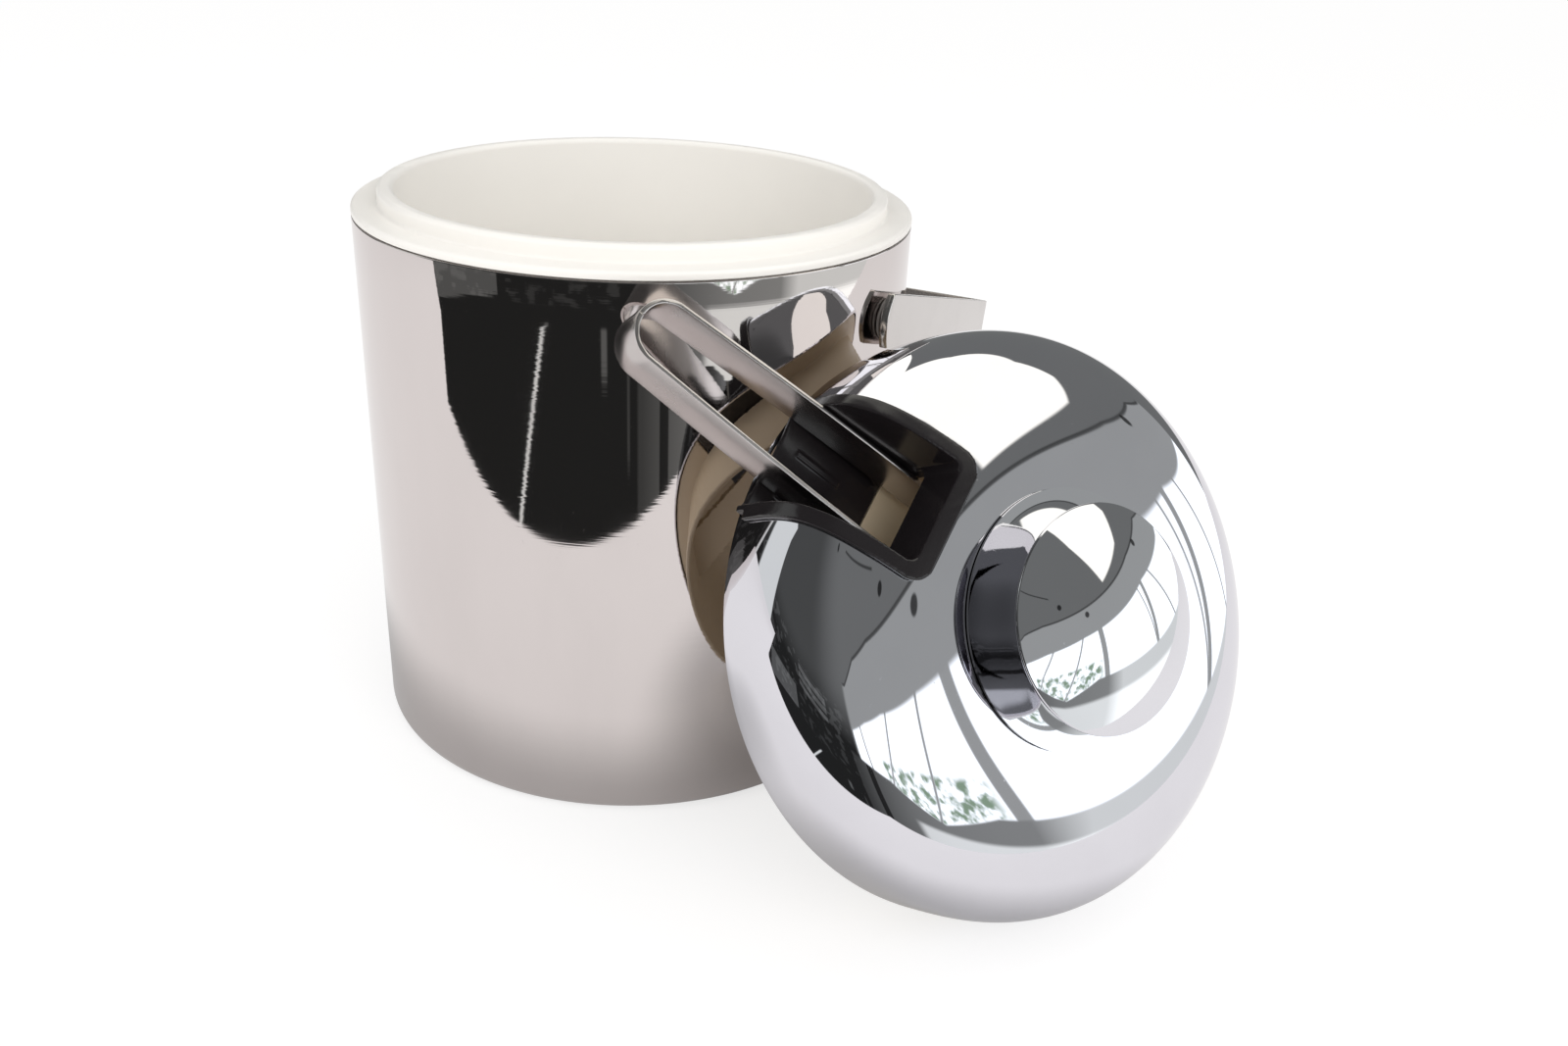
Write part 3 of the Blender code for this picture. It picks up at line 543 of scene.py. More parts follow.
    @staticmethod
    def dressed(piece: bpy.types.Object, material: bpy.types.Material) -> None:
        """Gives a piece one material."""
        piece.data.materials.clear()
        piece.data.materials.append(material)


def rounded(corners: Sequence[tuple[float, ...]], steps: int = 8, closed: bool = False) -> list[Flat]:
    """Outline through corners (x, y[, radius]), each radius made an arc.

    Args:
        corners: The corners.
        steps: Steps of each arc.
        closed: Whether the outline is closed.

    Returns:
        The points.
    """
    points: list[Flat] = []
    count = len(corners)
    for index, corner in enumerate(corners):
        here = Vector(corner[:2])
        radius = corner[2] if len(corner) > 2 else 0.0
        if radius <= 0.0 or (not closed and index in (0, count - 1)):
            points.append((here.x, here.y))
            continue
        before = Vector(corners[index - 1][:2]) - here
        after = Vector(corners[(index + 1) % count][:2]) - here
        half = before.angle(after) / 2
        reach = min(radius / math.tan(half), before.length / 2, after.length / 2)
        radius = reach * math.tan(half)
        way = (before.normalized() + after.normalized()).normalized()
        middle = here + way * (radius / math.sin(half))
        start = here + before.normalized() * reach - middle
        turn = start.angle_signed(here + after.normalized() * reach - middle)
        for step in range(steps + 1):
            arm = start.copy()
            arm.rotate(Matrix.Rotation(-turn * step / steps, 2))
            points.append(((middle + arm).x, (middle + arm).y))
    return points


def stepped(start: Flat, end: Flat, length: float) -> list[Flat]:
    """Points between two ends, so that long walls have rings."""
    count = max(int(math.dist(start, end) / length), 1)
    return [tuple(a + (b - a) * step / count for a, b in zip(start, end)) for step in range(1, count)]


# Bucket
@dataclass
class Bucket:
    """Steel shell, plastic liner, foam, foot pad and the bail's bushes."""

    radius: float = 72.5 * MM
    top: float = 142.0 * MM
    lift: float = 0.5 * MM
    recess: float = 1.3 * MM
    wall: float = 1.0 * MM
    corner: float = 4.0 * MM
    shell_step: float = 6.0 * MM
    pad_radius: float = 64.0 * MM
    pad_hollow: float = 0.25 * MM
    pad_rim: float = 8.0 * MM
    pad_slope: float = 1.0 * MM
    flange_top: float = 144.3 * MM
    neck_radius: float = 65.9 * MM
    neck_top: float = 148.5 * MM
    opening_radius: float = 61.8 * MM
    floor_radius: float = 57.5 * MM
    floor_height: float = 16.0 * MM
    floor_corner: float = 9.0 * MM
    liner_wall: float = 2.2 * MM
    spigot_wall: float = 1.4 * MM
    spigot_depth: float = 4.0 * MM
    liner_step: float = 30.0 * MM
    pivot_height: float = 123.4 * MM
    pivot_bearing: float = math.radians(60.0)
    stud_hole: float = 3.7 * MM
    bush_bore: float = 2.5 * MM
    bush_radius: float = 3.4 * MM
    bush_overhang: float = 1.2 * MM
    bush_head_radius: float = 5.2 * MM
    bush_head: float = 1.0 * MM

    def stud_place(self, turn: float) -> Matrix:
        """Frame of one stud, with Z out along it.

        Args:
            turn: Half a turn for the left stud.

        Returns:
            The frame.
        """
        outward = Vector((math.sin(self.pivot_bearing + turn), -math.cos(self.pivot_bearing + turn), 0.0))
        up = Vector((0.0, 0.0, 1.0))
        axes = Matrix((up, outward.cross(up), outward)).transposed().to_4x4()
        return Matrix.Translation((0.0, 0.0, self.pivot_height)) @ axes

    def make_shell(self) -> bpy.types.Object:
        """Models the steel shell.

        Returns:
            The shell.
        """
        inside = self.radius - self.wall
        low = self.lift + self.corner
        band = 7.0 * MM
        outside = [(self.radius, low), (self.radius, self.pivot_height - band),
                   (self.radius, self.pivot_height + band), (self.radius, self.top)]
        recess, edge = self.lift + self.recess, self.pad_radius + SEAT_GAP
        outer = rounded([(0.0, recess), (edge, recess, 0.2 * MM), (edge, self.lift, 0.3 * MM),
                         (self.radius, self.lift, self.corner), (self.radius, low + band)], steps=14)[:-1]
        for start, end in zip(outside, outside[1:]):
            outer += stepped(start, end, self.shell_step) + [end]
        rim = rounded([outer[-2], (self.radius, self.top, 0.3 * MM), (inside, self.top, 0.3 * MM),
                       (inside, self.top - band)], steps=4)[1:]
        floor = recess + self.wall
        inner = rounded([(inside, self.top - band), (inside, floor, self.corner - self.wall), (0.0, floor)],
                        steps=10)[1:]
        shell = Bench.turned("shell_skin", outer[:-1] + rim + inner)
        near, far = inside - OVERRUN, self.radius + OVERRUN
        hole = [(0.0, near), (self.stud_hole, near), (self.stud_hole, far), (0.0, far)]
        for turn in (0.0, math.pi):
            cut = Bench.turned("shell_hole", hole, SMALL_TURN_STEPS)
            Bench.set_down(cut, self.stud_place(turn))
            Bench.joined(shell, cut, Join.CUT)
        Bench.smoothed(shell, 30.0)
        return shell

    def make_pad(self) -> bpy.types.Object:
        """Models the foot pad with a shallow ring in its underside.

        Returns:
            The pad.
        """
        top = self.lift + self.recess - SEAT_GAP
        rim = self.pad_radius - self.pad_rim
        pad = Bench.turned("foot_pad", rounded([
            (0.0, self.pad_hollow), (rim - self.pad_slope, self.pad_hollow),
            (rim, 0.0), (self.pad_radius, 0.0, 0.4 * MM),
            (self.pad_radius, top, 0.2 * MM), (0.0, top)], steps=4))
        Bench.smoothed(pad)
        return pad

    def make_liner(self) -> bpy.types.Object:
        """Models the plastic liner, its flange and its neck.

        Returns:
            The liner.
        """
        flange_low = self.top + SEAT_GAP
        low = self.floor_height - self.liner_wall
        spigot = self.radius - self.wall - SEAT_GAP
        spigot_low = flange_low - self.spigot_depth
        wall = (self.opening_radius, self.neck_top)
        foot = (self.floor_radius, self.floor_height)
        liner = Bench.turned("liner_skin", rounded([
            (0.0, low),
            (self.floor_radius + self.liner_wall, low, self.floor_corner + self.liner_wall),
            (self.opening_radius + self.liner_wall, flange_low, 0.3 * MM),
            (spigot - self.spigot_wall, flange_low), (spigot - self.spigot_wall, spigot_low),
            (spigot, spigot_low), (spigot, flange_low),
            (self.radius, flange_low, 0.25 * MM), (self.radius, self.flange_top, 1.1 * MM),
            (self.neck_radius, self.flange_top, 0.9 * MM),
            (self.neck_radius, self.neck_top, 1.3 * MM),
            (*wall, 1.5 * MM),
            *stepped(wall, foot, self.liner_step)[:-1],
            (*foot, self.floor_corner), (0.0, self.floor_height)], steps=10))
        Bench.smoothed(liner, 40.0)
        return liner

    def make_bush(self, name: str, turn: float) -> bpy.types.Object:
        """Models one bush.

        Args:
            name: Its name.
            turn: Half a turn for the left one.

        Returns:
            The bush.
        """
        inner_end = self.radius - self.wall - self.bush_overhang
        seat = self.radius + SEAT_GAP
        face = seat + self.bush_head
        bush = Bench.turned(name, rounded([
            (self.bush_bore, inner_end), (self.bush_radius, inner_end, 0.2 * MM),
            (self.bush_radius, seat), (self.bush_head_radius, seat, 0.2 * MM),
            (self.bush_head_radius, face, 0.35 * MM), (self.bush_bore, face, 0.15 * MM)],
            steps=4), SMALL_TURN_STEPS)
        return Bench.placed(bush, self.stud_place(turn))

    def build(self, looks: dict[str, bpy.types.Material]) -> None:
        """Models and dresses the bucket.

        Args:
            looks: The materials by name.
        """
        bushes = [self.make_bush("bush_right", 0.0), self.make_bush("bush_left", math.pi)]
        for piece, node, look in ((self.make_shell(), "outer_shell", "shell"),
                                  (self.make_pad(), "base_pad", "pad"),
                                  (self.make_liner(), "inner_liner", "liner"),
                                  (bushes[0], "bail_bush_right", "acetal"),
                                  (bushes[1], "bail_bush_left", "acetal")):
            finish_piece(piece, "bucket", look, looks, node)
        dress_node("bucket_insulation", "foam", looks)


# Bail
@dataclass
class Bail:
    """The flat strap handle, swung down behind the bucket."""

    bucket: Bucket
    drop: float = math.radians(15.0)
    width: float = 13.4 * MM
    thickness: float = 2.0 * MM
    bend: float = 4.0 * MM
    reach: float = 82.6 * MM
    tail: float = 8.5 * MM
    crown: float = 2.5 * MM

    @property
    def inside(self) -> float:
        """Distance from the middle to the strap's inner face."""
        return self.bucket.radius + 2 * SEAT_GAP + self.bucket.bush_head

    def place(self) -> Matrix:
        """Frame of the bail: X along its studs, Y down its arms.

        Returns:
            The frame.
        """
        bearing = self.bucket.pivot_bearing
        across = Vector((math.sin(bearing), -math.cos(bearing), 0.0))
        up = Vector((0.0, 0.0, 1.0))
        level = Matrix((across, up.cross(across), up)).transposed().to_4x4()
        return (Matrix.Translation((0.0, 0.0, self.bucket.pivot_height)) @ level
                @ Matrix.Rotation(-self.drop, 4, "X"))

    def make_strap(self) -> bpy.types.Object:
        """Models the bent strap and rounds its ends.

        Returns:
            The strap.
        """
        inside, outside = self.inside, self.inside + self.thickness
        tail = -self.tail - self.crown - OVERRUN
        grip = self.reach - self.thickness
        half = self.width / 2
        strap = Bench.raised("bail_strap", rounded([
            (-outside, tail), (-outside, self.reach, self.bend), (outside, self.reach, self.bend),
            (outside, tail), (inside, tail), (inside, grip, self.bend - self.thickness),
            (-inside, grip, self.bend - self.thickness), (-inside, tail)],
            steps=14, closed=True), -half, half)
        radius = (half ** 2 + self.crown ** 2) / (2 * self.crown)
        centre = -self.tail - self.crown + radius
        spread = math.asin(half / radius)
        end = [(centre - radius * math.cos(angle), radius * math.sin(angle))
               for angle in (spread * (step / 20.0 - 1.0) for step in range(41))]
        far = self.reach + OVERRUN
        trim = Bench.raised("bail_trim", end + [(far, half + OVERRUN), (far, -half - OVERRUN)],
                            -outside - OVERRUN, outside + OVERRUN)
        Bench.set_down(trim, Matrix(((0, 0, 1, 0), (1, 0, 0, 0), (0, 1, 0, 0), (0, 0, 0, 1))))
        Bench.closed_up(trim)
        Bench.joined(strap, trim, Join.TRIM)
        Bench.softened(strap)
        return Bench.placed(strap, self.place())

    def build(self, looks: dict[str, bpy.types.Material]) -> None:
        """Models and dresses the bail.

        Args:
            looks: The materials by name.
        """
        finish_piece(self.make_strap(), "bail", "strap", looks, "bail_handle")
        for side in ("left", "right"):
            dress_node("bail_stud_" + side, "strip", looks)
            dress_node("bail_clip_" + side, "strip", looks)


# Lid
@dataclass(frozen=True)
class Knob:
    """Sizes of the knob, its screw and its washer; widths are radii."""

    foot: float = 29.4 * MM
    foot_edge: float = 0.6 * MM
    waist: float = 17.0 * MM
    waist_height: float = 6.0 * MM
    seat: float = 22.5 * MM
    cap: float = 25.1 * MM
    cap_height: float = 10.3 * MM
    cap_edge: float = 1.0 * MM
    cap_corner: float = 0.45 * MM
    crown: float = 5.5 * MM
    bore_depth: float = 2.5 * MM
    screw_end: float = 0.5 * MM
    shank: float = 2.2 * MM
    head: float = 4.2 * MM
    head_height: float = 2.2 * MM
    slot_half_length: float = 2.3 * MM
    slot_half_width: float = 0.45 * MM
    slot_depth: float = 1.2 * MM
    washer: float = 6.0 * MM
    washer_thickness: float = 0.8 * MM


@dataclass
class Lid:
    """Chrome dome with its liner, notch moulding and knob."""

    heading: float = math.radians(28.15)
    rise: float = math.radians(27.3)
    notch_turn: float = math.radians(134.6)
    centre: Point = (81.120 * MM, -80.837 * MM, 61.403 * MM)
    radius: float = 69.1 * MM
    height: float = 34.4 * MM
    wall: float = 1.0 * MM
    exponent: float = 4.30
    liner_height: float = 30.4 * MM
    liner_wall: float = 1.5 * MM
    plug_radius: float = 60.8 * MM
    plug_wall: float = 1.8 * MM
    plug_depth: float = 13.1 * MM
    shoulder: float = 0.6 * MM
    bridge: float = 18.0 * MM
    notch_end: float = 42.3 * MM
    notch_half: float = 12.5 * MM
    notch_wall: float = 1.5 * MM
    notch_floor: float = 2.3 * MM
    sill: float = 68.0 * MM
    sill_hollow: float = 0.8 * MM
    lintel: float = 21.8 * MM
    lip: float = 3.5 * MM
    lip_end: float = 4.4 * MM
    lip_thickness: float = 1.2 * MM
    lip_foot: float = 4.5 * MM
    lip_corner: float = 5.0 * MM
    end_corner: float = 2.5 * MM
    jamb_step: float = 0.4 * MM
    rib_start: float = 50.8 * MM
    rib_end: float = 63.3 * MM
    rib_offset: float = 5.4 * MM
    rib_half: float = 0.6 * MM
    rib_height: float = 0.4 * MM
    rib_foot: float = 0.5 * MM
    hole: float = 2.5 * MM
    knob: Knob = Knob()

    def place(self) -> Matrix:
        """Frame of the lid: X to its notch, Z out through its knob.

        Returns:
            The frame.
        """
        axis = Vector((math.sin(self.heading) * math.cos(self.rise),
                       -math.cos(self.heading) * math.cos(self.rise), math.sin(self.rise)))
        level = Vector((math.cos(self.heading), math.sin(self.heading), 0.0))
        notch = math.cos(self.notch_turn) * level + math.sin(self.notch_turn) * axis.cross(level)
        turn = Matrix((notch, axis.cross(notch), axis)).transposed().to_4x4()
        return Matrix.Translation(self.centre) @ turn

    def bun(self, radius: float, height: float, hole: float = 0.0, floor: float = 0.0,
            steps: int = 72) -> list[Flat]:
        """Points of the dome's curve from its rim to its top.

        Args:
            radius: Radius at the rim.
            height: Height at the top.
            hole: Radius of the hole at the top.
            floor: Height where the curve starts.
            steps: Steps from rim to top.

        Returns:
            The points (radius, height).
        """
        power = 2.0 / self.exponent
        points = []
        for step in range(steps + 1):
            angle = math.pi / 2 * step / steps
            points.append((radius * max(math.cos(angle), 0.0) ** power, height * math.sin(angle) ** power))
        first = points[1][1]
        rises = [first * share for share in (0.0, 0.25, 0.5, 0.75)]
        start = [(radius * (1 - (rise / height) ** self.exponent) ** (1 / self.exponent), rise)
                 for rise in rises]
        kept = [point for point in start + points[1:-1] if point[0] > hole and point[1] >= floor]
        return kept + [(hole, self.bun_height(radius, height, hole))]

    def bun_height(self, radius: float, height: float, at: float) -> float:
        """Height of the dome's curve at a distance from the axis."""
        return height * (1.0 - (at / radius) ** self.exponent) ** (1.0 / self.exponent)

    def notch_box(self) -> bpy.types.Object:
        """Models the tool that clears the shells for the notch.

        Returns:
            The tool.
        """
        side = self.notch_half + self.notch_wall + SEAT_GAP
        back = self.notch_end - self.notch_wall - SEAT_GAP
        low = self.notch_floor - self.notch_wall - SEAT_GAP
        return Bench.block("notch_clearance", (back, -side, low),
                           (self.radius + 2 * OVERRUN, side, self.height + 2 * OVERRUN))

    def make_dome(self) -> bpy.types.Object:
        """Models the chrome dome.

        Returns:
            The dome.
        """
        outer = self.bun(self.radius, self.height, self.hole)
        inner = self.bun(self.radius - self.wall, self.height - self.wall, self.hole)
        rim = [(self.radius - inset * MM, rise * MM) for inset, rise in (
            (0.95, 0.25), (0.75, 0.03), (0.5, 0.0), (0.25, 0.03), (0.05, 0.25))]
        dome = Bench.turned("dome_skin", rim + outer[1:] + inner[:0:-1])
        Bench.joined(dome, self.notch_box(), Join.CUT)
        return Bench.placed(dome, self.place(), 30.0)

    def make_liner(self) -> bpy.types.Object:
        """Models the tan liner and the ring that enters the opening.

        Returns:
            The liner.
        """
        flange = self.radius - self.wall - 2 * SEAT_GAP
        top = self.shoulder + self.liner_wall
        inside = self.plug_radius - self.plug_wall
        lower = rounded([
            (inside, self.shoulder), (inside, -self.plug_depth, 0.7 * MM),
            (self.plug_radius, -self.plug_depth, 0.7 * MM), (self.plug_radius, self.shoulder, 0.4 * MM),
            (flange, self.shoulder, 0.3 * MM), (flange, top, 0.3 * MM), (self.plug_radius, top)], steps=6)
        outer = self.bun(self.plug_radius, self.liner_height, self.hole, top)
        inner = self.bun(inside, self.liner_height - self.liner_wall, self.hole, self.shoulder)
        liner = Bench.turned("lid_liner_skin", lower + outer[1:] + inner[:0:-1])
        Bench.joined(liner, self.notch_box(), Join.CUT)
        Bench.joined(liner, self.make_bridge(), Join.ADD)
        return Bench.placed(liner, self.place())

    def make_bridge(self) -> bpy.types.Object:
        """Models the web across the ring, right behind the notch's end.

        Returns:
            The web.
        """
        ring = self.plug_radius - self.plug_wall / 2
        near = self.notch_end - self.notch_wall - SEAT_GAP
        far = near - self.bridge
        low, high = math.acos(near / ring), math.acos(far / ring)
        angles = [start + (end - start) * step / 12
                  for start, end in ((low, high), (-high, -low)) for step in range(13)]
        outline = [(ring * math.cos(angle), ring * math.sin(angle)) for angle in angles]
        return Bench.raised("liner_bridge", outline, self.shoulder, self.shoulder + self.liner_wall)

    def grown_dome(self, name: str, grow: float) -> bpy.types.Object:
        """Models the dome's solid form, larger by a distance, as a tool."""
        outline = self.bun(self.radius + grow, self.height + grow, steps=48) + [(0.0, 0.0)]
        return Bench.turned(name, outline, MEDIUM_TURN_STEPS)

    def add_ribs(self, insert: bpy.types.Object) -> None:
        """Adds the two ribs on the notch's floor.

        Args:
            insert: The moulding.
        """
        low, high = self.notch_floor - self.rib_foot, self.notch_floor + self.rib_height
        for offset in (-self.rib_offset, self.rib_offset):
            rib = Bench.block("notch_rib", (self.rib_start, offset - self.rib_half, low),
                              (self.rib_end, offset + self.rib_half, high))
            Bench.joined(insert, rib, Join.ADD)

    @staticmethod
    def melt(insert: bpy.types.Object) -> None:
        """Melts a joined moulding into one skin with soft edges.

        Args:
            insert: The moulding.
        """
        remesh = insert.modifiers.new("skin", "REMESH")
        remesh.mode = "VOXEL"
        remesh.voxel_size = VOXEL
        Bench.applied(insert, remesh)
        ease = insert.modifiers.new("ease", "SMOOTH")
        ease.factor = 0.5
        ease.iterations = 3
        Bench.applied(insert, ease)

    def make_notch(self) -> bpy.types.Object:
        """Models the black moulding: lip, walls, floor and lintel.

        Returns:
            The moulding.
        """
        reach = self.radius + SEAT_GAP + self.lip_thickness + OVERRUN
        above = self.height + SEAT_GAP + self.lip_thickness + OVERRUN
        low = self.notch_floor - self.notch_wall
        lip_side, wall_side = self.notch_half + self.lip, self.notch_half + self.notch_wall
        far = reach + OVERRUN
        lip_start = self.notch_end - self.lip_end
        insert = Bench.raised("notch_moulding", rounded([
            (reach, -lip_side), (reach, lip_side), (lip_start, lip_side, self.lip_corner),
            (lip_start, -lip_side, self.lip_corner)], closed=True), low, above)
        skin = self.grown_dome("lip_outside", SEAT_GAP + self.lip_thickness)
        under = self.grown_dome("lip_underside", SEAT_GAP)
        back = self.notch_end - self.notch_wall
        walls = Bench.block("notch_walls", (back, -wall_side, -OVERRUN), (far, wall_side, above + OVERRUN))
        Bench.joined(under, walls, Join.CUT)
        room = Bench.raised("notch_room", rounded([
            (far, -self.notch_half), (far, self.notch_half),
            (self.notch_end, self.notch_half, self.end_corner),
            (self.notch_end, -self.notch_half, self.end_corner)], closed=True),
            self.notch_floor, above + OVERRUN)
        jamb = self.notch_half - self.jamb_step
        way_in = Bench.block("notch_way_in", (back - OVERRUN, -jamb, self.notch_floor),
                             (self.notch_end + self.end_corner, jamb, self.lintel))
        sill = [(self.sill + self.sill_hollow * share ** 2, self.notch_half * share)
                for share in (1 - step / 12 for step in range(25))]
        doorstep = Bench.raised("notch_doorstep", sill + [(far, -self.notch_half), (far, self.notch_half)],
                                low - OVERRUN, self.notch_floor + self.notch_wall)
        Bench.joined(insert, skin, Join.TRIM)
        for tool in (under, room, way_in, doorstep):
            Bench.joined(insert, tool, Join.CUT)
        for start, end in ((-lip_side - OVERRUN, -wall_side), (wall_side, lip_side + OVERRUN)):
            foot = Bench.block("lip_foot", (self.notch_end, start, low - OVERRUN), (far, end, self.lip_foot))
            Bench.joined(insert, foot, Join.CUT)
        self.add_ribs(insert)
        self.melt(insert)
        Bench.set_down(insert, self.place())
        bpy.ops.object.shade_smooth()
        return insert

    def make_neck(self) -> bpy.types.Object:
        """Models the knob's waisted neck, fitted to the dome's curve.

        Returns:
            The neck.
        """
        knob = self.knob
        waist = self.height + knob.waist_height
        top = self.height + knob.cap_height - SEAT_GAP
        bore = top - knob.bore_depth
        radii = [self.hole + (knob.foot - self.hole) * step / 16 for step in range(17)]
        base = [(radius, self.bun_height(self.radius, self.height, radius) + SEAT_GAP) for radius in radii]
        foot_top = base[-1][1] + knob.foot_edge
        quarter = [math.pi / 2 * step / 20 for step in range(21)]
        flare = [(knob.foot - (knob.foot - knob.waist) * math.sin(angle),
                  waist - (waist - foot_top) * math.cos(angle)) for angle in quarter]
        throat = [(knob.seat - (knob.seat - knob.waist) * math.cos(angle),
                   waist + (top - waist) * math.sin(angle)) for angle in quarter[1:]]
        outline = [(0.0, bore), (self.hole, bore), *base, *flare, *throat, (0.0, top)]
        return Bench.turned("knob_stem", outline, KNOB_TURN_STEPS)

    def make_cap(self) -> bpy.types.Object:
        """Models the knob's crowned cap.

        Returns:
            The cap.
        """
        knob = self.knob
        under = self.height + knob.cap_height
        top = under + knob.cap_edge + knob.crown
        sphere = (knob.cap ** 2 + knob.crown ** 2) / (2 * knob.crown)
        spread = math.asin(knob.cap / sphere)
        leans = [spread * (1 - step / 24) for step in range(25)]
        crown = [(sphere * math.sin(lean), top - sphere * (1 - math.cos(lean))) for lean in leans]
        corner = knob.cap_corner
        rim = rounded([(0.0, under), (knob.cap, under, corner), (*crown[0], corner), crown[2]], steps=6)
        return Bench.turned("knob_button", rim[:-1] + crown[2:], KNOB_TURN_STEPS)

    def make_washer(self) -> bpy.types.Object:
        """Models the washer under the liner's ceiling.

        Returns:
            The washer.
        """
        top = self.liner_height - self.liner_wall - SEAT_GAP
        low = top - self.knob.washer_thickness
        edge = self.knob.washer
        return Bench.turned("screw_washer", rounded([
            (self.hole, low), (edge, low, 0.25 * MM), (edge, top, 0.25 * MM), (self.hole, top)], steps=4),
            SMALL_TURN_STEPS)

    def make_screw(self) -> bpy.types.Object:
        """Models the screw with its cross slot, from inside the lid.

        Returns:
            The screw.
        """
        knob = self.knob
        seat = self.liner_height - self.liner_wall - SEAT_GAP - knob.washer_thickness - SEAT_GAP
        low = seat - knob.head_height
        end = self.height + knob.cap_height - SEAT_GAP - knob.bore_depth - knob.screw_end
        screw = Bench.turned("knob_bolt", rounded([
            (0.0, low), (knob.head, low, 1.4 * MM), (knob.head, seat, 0.2 * MM),
            (knob.shank, seat), (knob.shank, end, 0.4 * MM), (0.0, end)], steps=6), SMALL_TURN_STEPS)
        for turn in (0.0, math.pi / 2):
            slot = Bench.block("bolt_slot", (-knob.slot_half_length, -knob.slot_half_width, low - OVERRUN),
                               (knob.slot_half_length, knob.slot_half_width, low + knob.slot_depth))
            Bench.set_down(slot, Matrix.Rotation(turn, 4, "Z"))
            Bench.joined(screw, slot, Join.CUT)
        return screw

    def build(self, looks: dict[str, bpy.types.Material]) -> None:
        """Models and dresses the lid.

        Args:
            looks: The materials by name.
        """
        finish_piece(self.make_dome(), "lid", "dome", looks, "lid_dome")
        finish_piece(self.make_liner(), "lid", "lid_liner", looks, "lid_liner")
        finish_piece(self.make_notch(), "lid", "moulding", looks, "notch_insert")
        for piece, node, look in ((self.make_neck(), "knob_neck", "knob"),
                                  (self.make_cap(), "knob_cap", "knob"),
                                  (self.make_washer(), "knob_washer", "strip"),
                                  (self.make_screw(), "knob_screw", "strip")):
            finish_piece(Bench.placed(piece, self.place()), "lid", look, looks, node)
        dress_node("lid_insulation", "foam", looks)


# Tongs
@dataclass
class Tongs:
    """One bent strip, lying in the lid's notch."""

    lid: Lid
    thickness: float = 1.1 * MM
    width: float = 13.0 * MM
    bow: float = 7.5 * MM
    length: float = 142.0 * MM
    flare: float = 1.9 * MM
    flare_length: float = 66.0 * MM
    tip_corner: float = 4.0 * MM
    bend_start: float = 3.0 * MM
    bend_end: float = -14.0 * MM
    trim_depth: float = 20.0 * MM
    reach: float = 105.3 * MM
    offset: float = -4.6 * MM
    swing: float = math.radians(-2.06)
    dip: float = math.radians(5.269)

    def place(self) -> Matrix:
        """Frame of the tongs: X out of the notch, Z up the strip.

        Returns:
            The frame.
        """
        sill = self.lid.sill + self.lid.sill_hollow
        low = self.lid.notch_floor + SEAT_GAP - (self.reach - sill) * math.tan(self.dip)
        middle = low + self.width / 2 / math.cos(self.dip)
        return (self.lid.place() @ Matrix.Translation((self.reach, self.offset, middle))
                @ Matrix.Rotation(self.dip, 4, "Y") @ Matrix.Rotation(self.swing, 4, "Z"))

    def middle_line(self, side: int) -> list[Flat]:
        """Middle of the strip from the bend's top to a tip.

        Args:
            side: -1 for the upper arm, 1 for the lower.

        Returns:
            The points.
        """
        middle = self.bow - self.thickness / 2
        points = [(middle * math.cos(angle), side * middle * math.sin(angle))
                  for angle in (math.pi / 2 * step / 40 for step in range(41))]
        for step in range(1, 49):
            along = self.length * step / 48
            spread = self.flare * math.sin(math.pi / 2 * min(along / self.flare_length, 1.0))
            points.append((-along, side * (middle + spread)))
        return points

    def make_half(self, name: str, side: int) -> bpy.types.Object:
        """Models half of the strip.

        Args:
            name: Its name.
            side: -1 for the upper arm, 1 for the lower.

        Returns:
            The half strip.
        """
        line = self.middle_line(side)
        sides: tuple[list[Flat], list[Flat]] = ([], [])
        for index, here in enumerate(line):
            before, after = line[max(index - 1, 0)], line[min(index + 1, len(line) - 1)]
            way = Vector((after[0] - before[0], after[1] - before[1])).normalized()
            if index == 0:
                way = Vector((0.0, float(side)))
            across = Vector((-way.y, way.x)) * self.thickness / 2
            sides[0].append((here[0] + across.x, here[1] + across.y))
            sides[1].append((here[0] - across.x, here[1] - across.y))
        half = self.width / 2
        strip = Bench.raised(name, sides[0] + sides[1][::-1], -half, half)
        tip, corner = -self.length, self.tip_corner
        shoulder, top, edge = tip + corner + OVERRUN, self.bow + OVERRUN, half + OVERRUN
        trim = Bench.raised("tip_trim", rounded([
            (top, -edge), (shoulder, -edge), (shoulder, -half), (tip, -half, corner),
            (tip, half, corner), (shoulder, half), (shoulder, edge), (top, edge)], closed=True),
            -self.trim_depth, self.trim_depth)
        Bench.set_down(trim, Matrix(((1, 0, 0, 0), (0, 0, 1, 0), (0, 1, 0, 0), (0, 0, 0, 1))))
        Bench.closed_up(trim)
        Bench.joined(strip, trim, Join.TRIM)
        Bench.softened(strip, 60.0, 2)
        return Bench.placed(strip, self.place())

    def build(self, looks: dict[str, bpy.types.Material]) -> None:
        """Models and dresses the tongs' two halves.

        Args:
            looks: The materials by name.
        """
        place = self.place()
        middle = self.bow - self.thickness / 2
        for name, side, body, nodes in (
                ("tongs_strip_upper", -1, "upper_arm", ("tong_bow", "tong_arm_upper")),
                ("tongs_strip_lower", 1, "lower_arm", ("tong_arm_lower",))):
            strip = self.make_half(name, side)
            Bench.dressed(strip, looks["strip"])
            start = place @ Vector((self.bend_start, side * middle, 0.0))
            end = place @ Vector((self.bend_end, side * middle, 0.0))
            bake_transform(strip)
            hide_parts(*nodes)
            log.info("made %s", name)


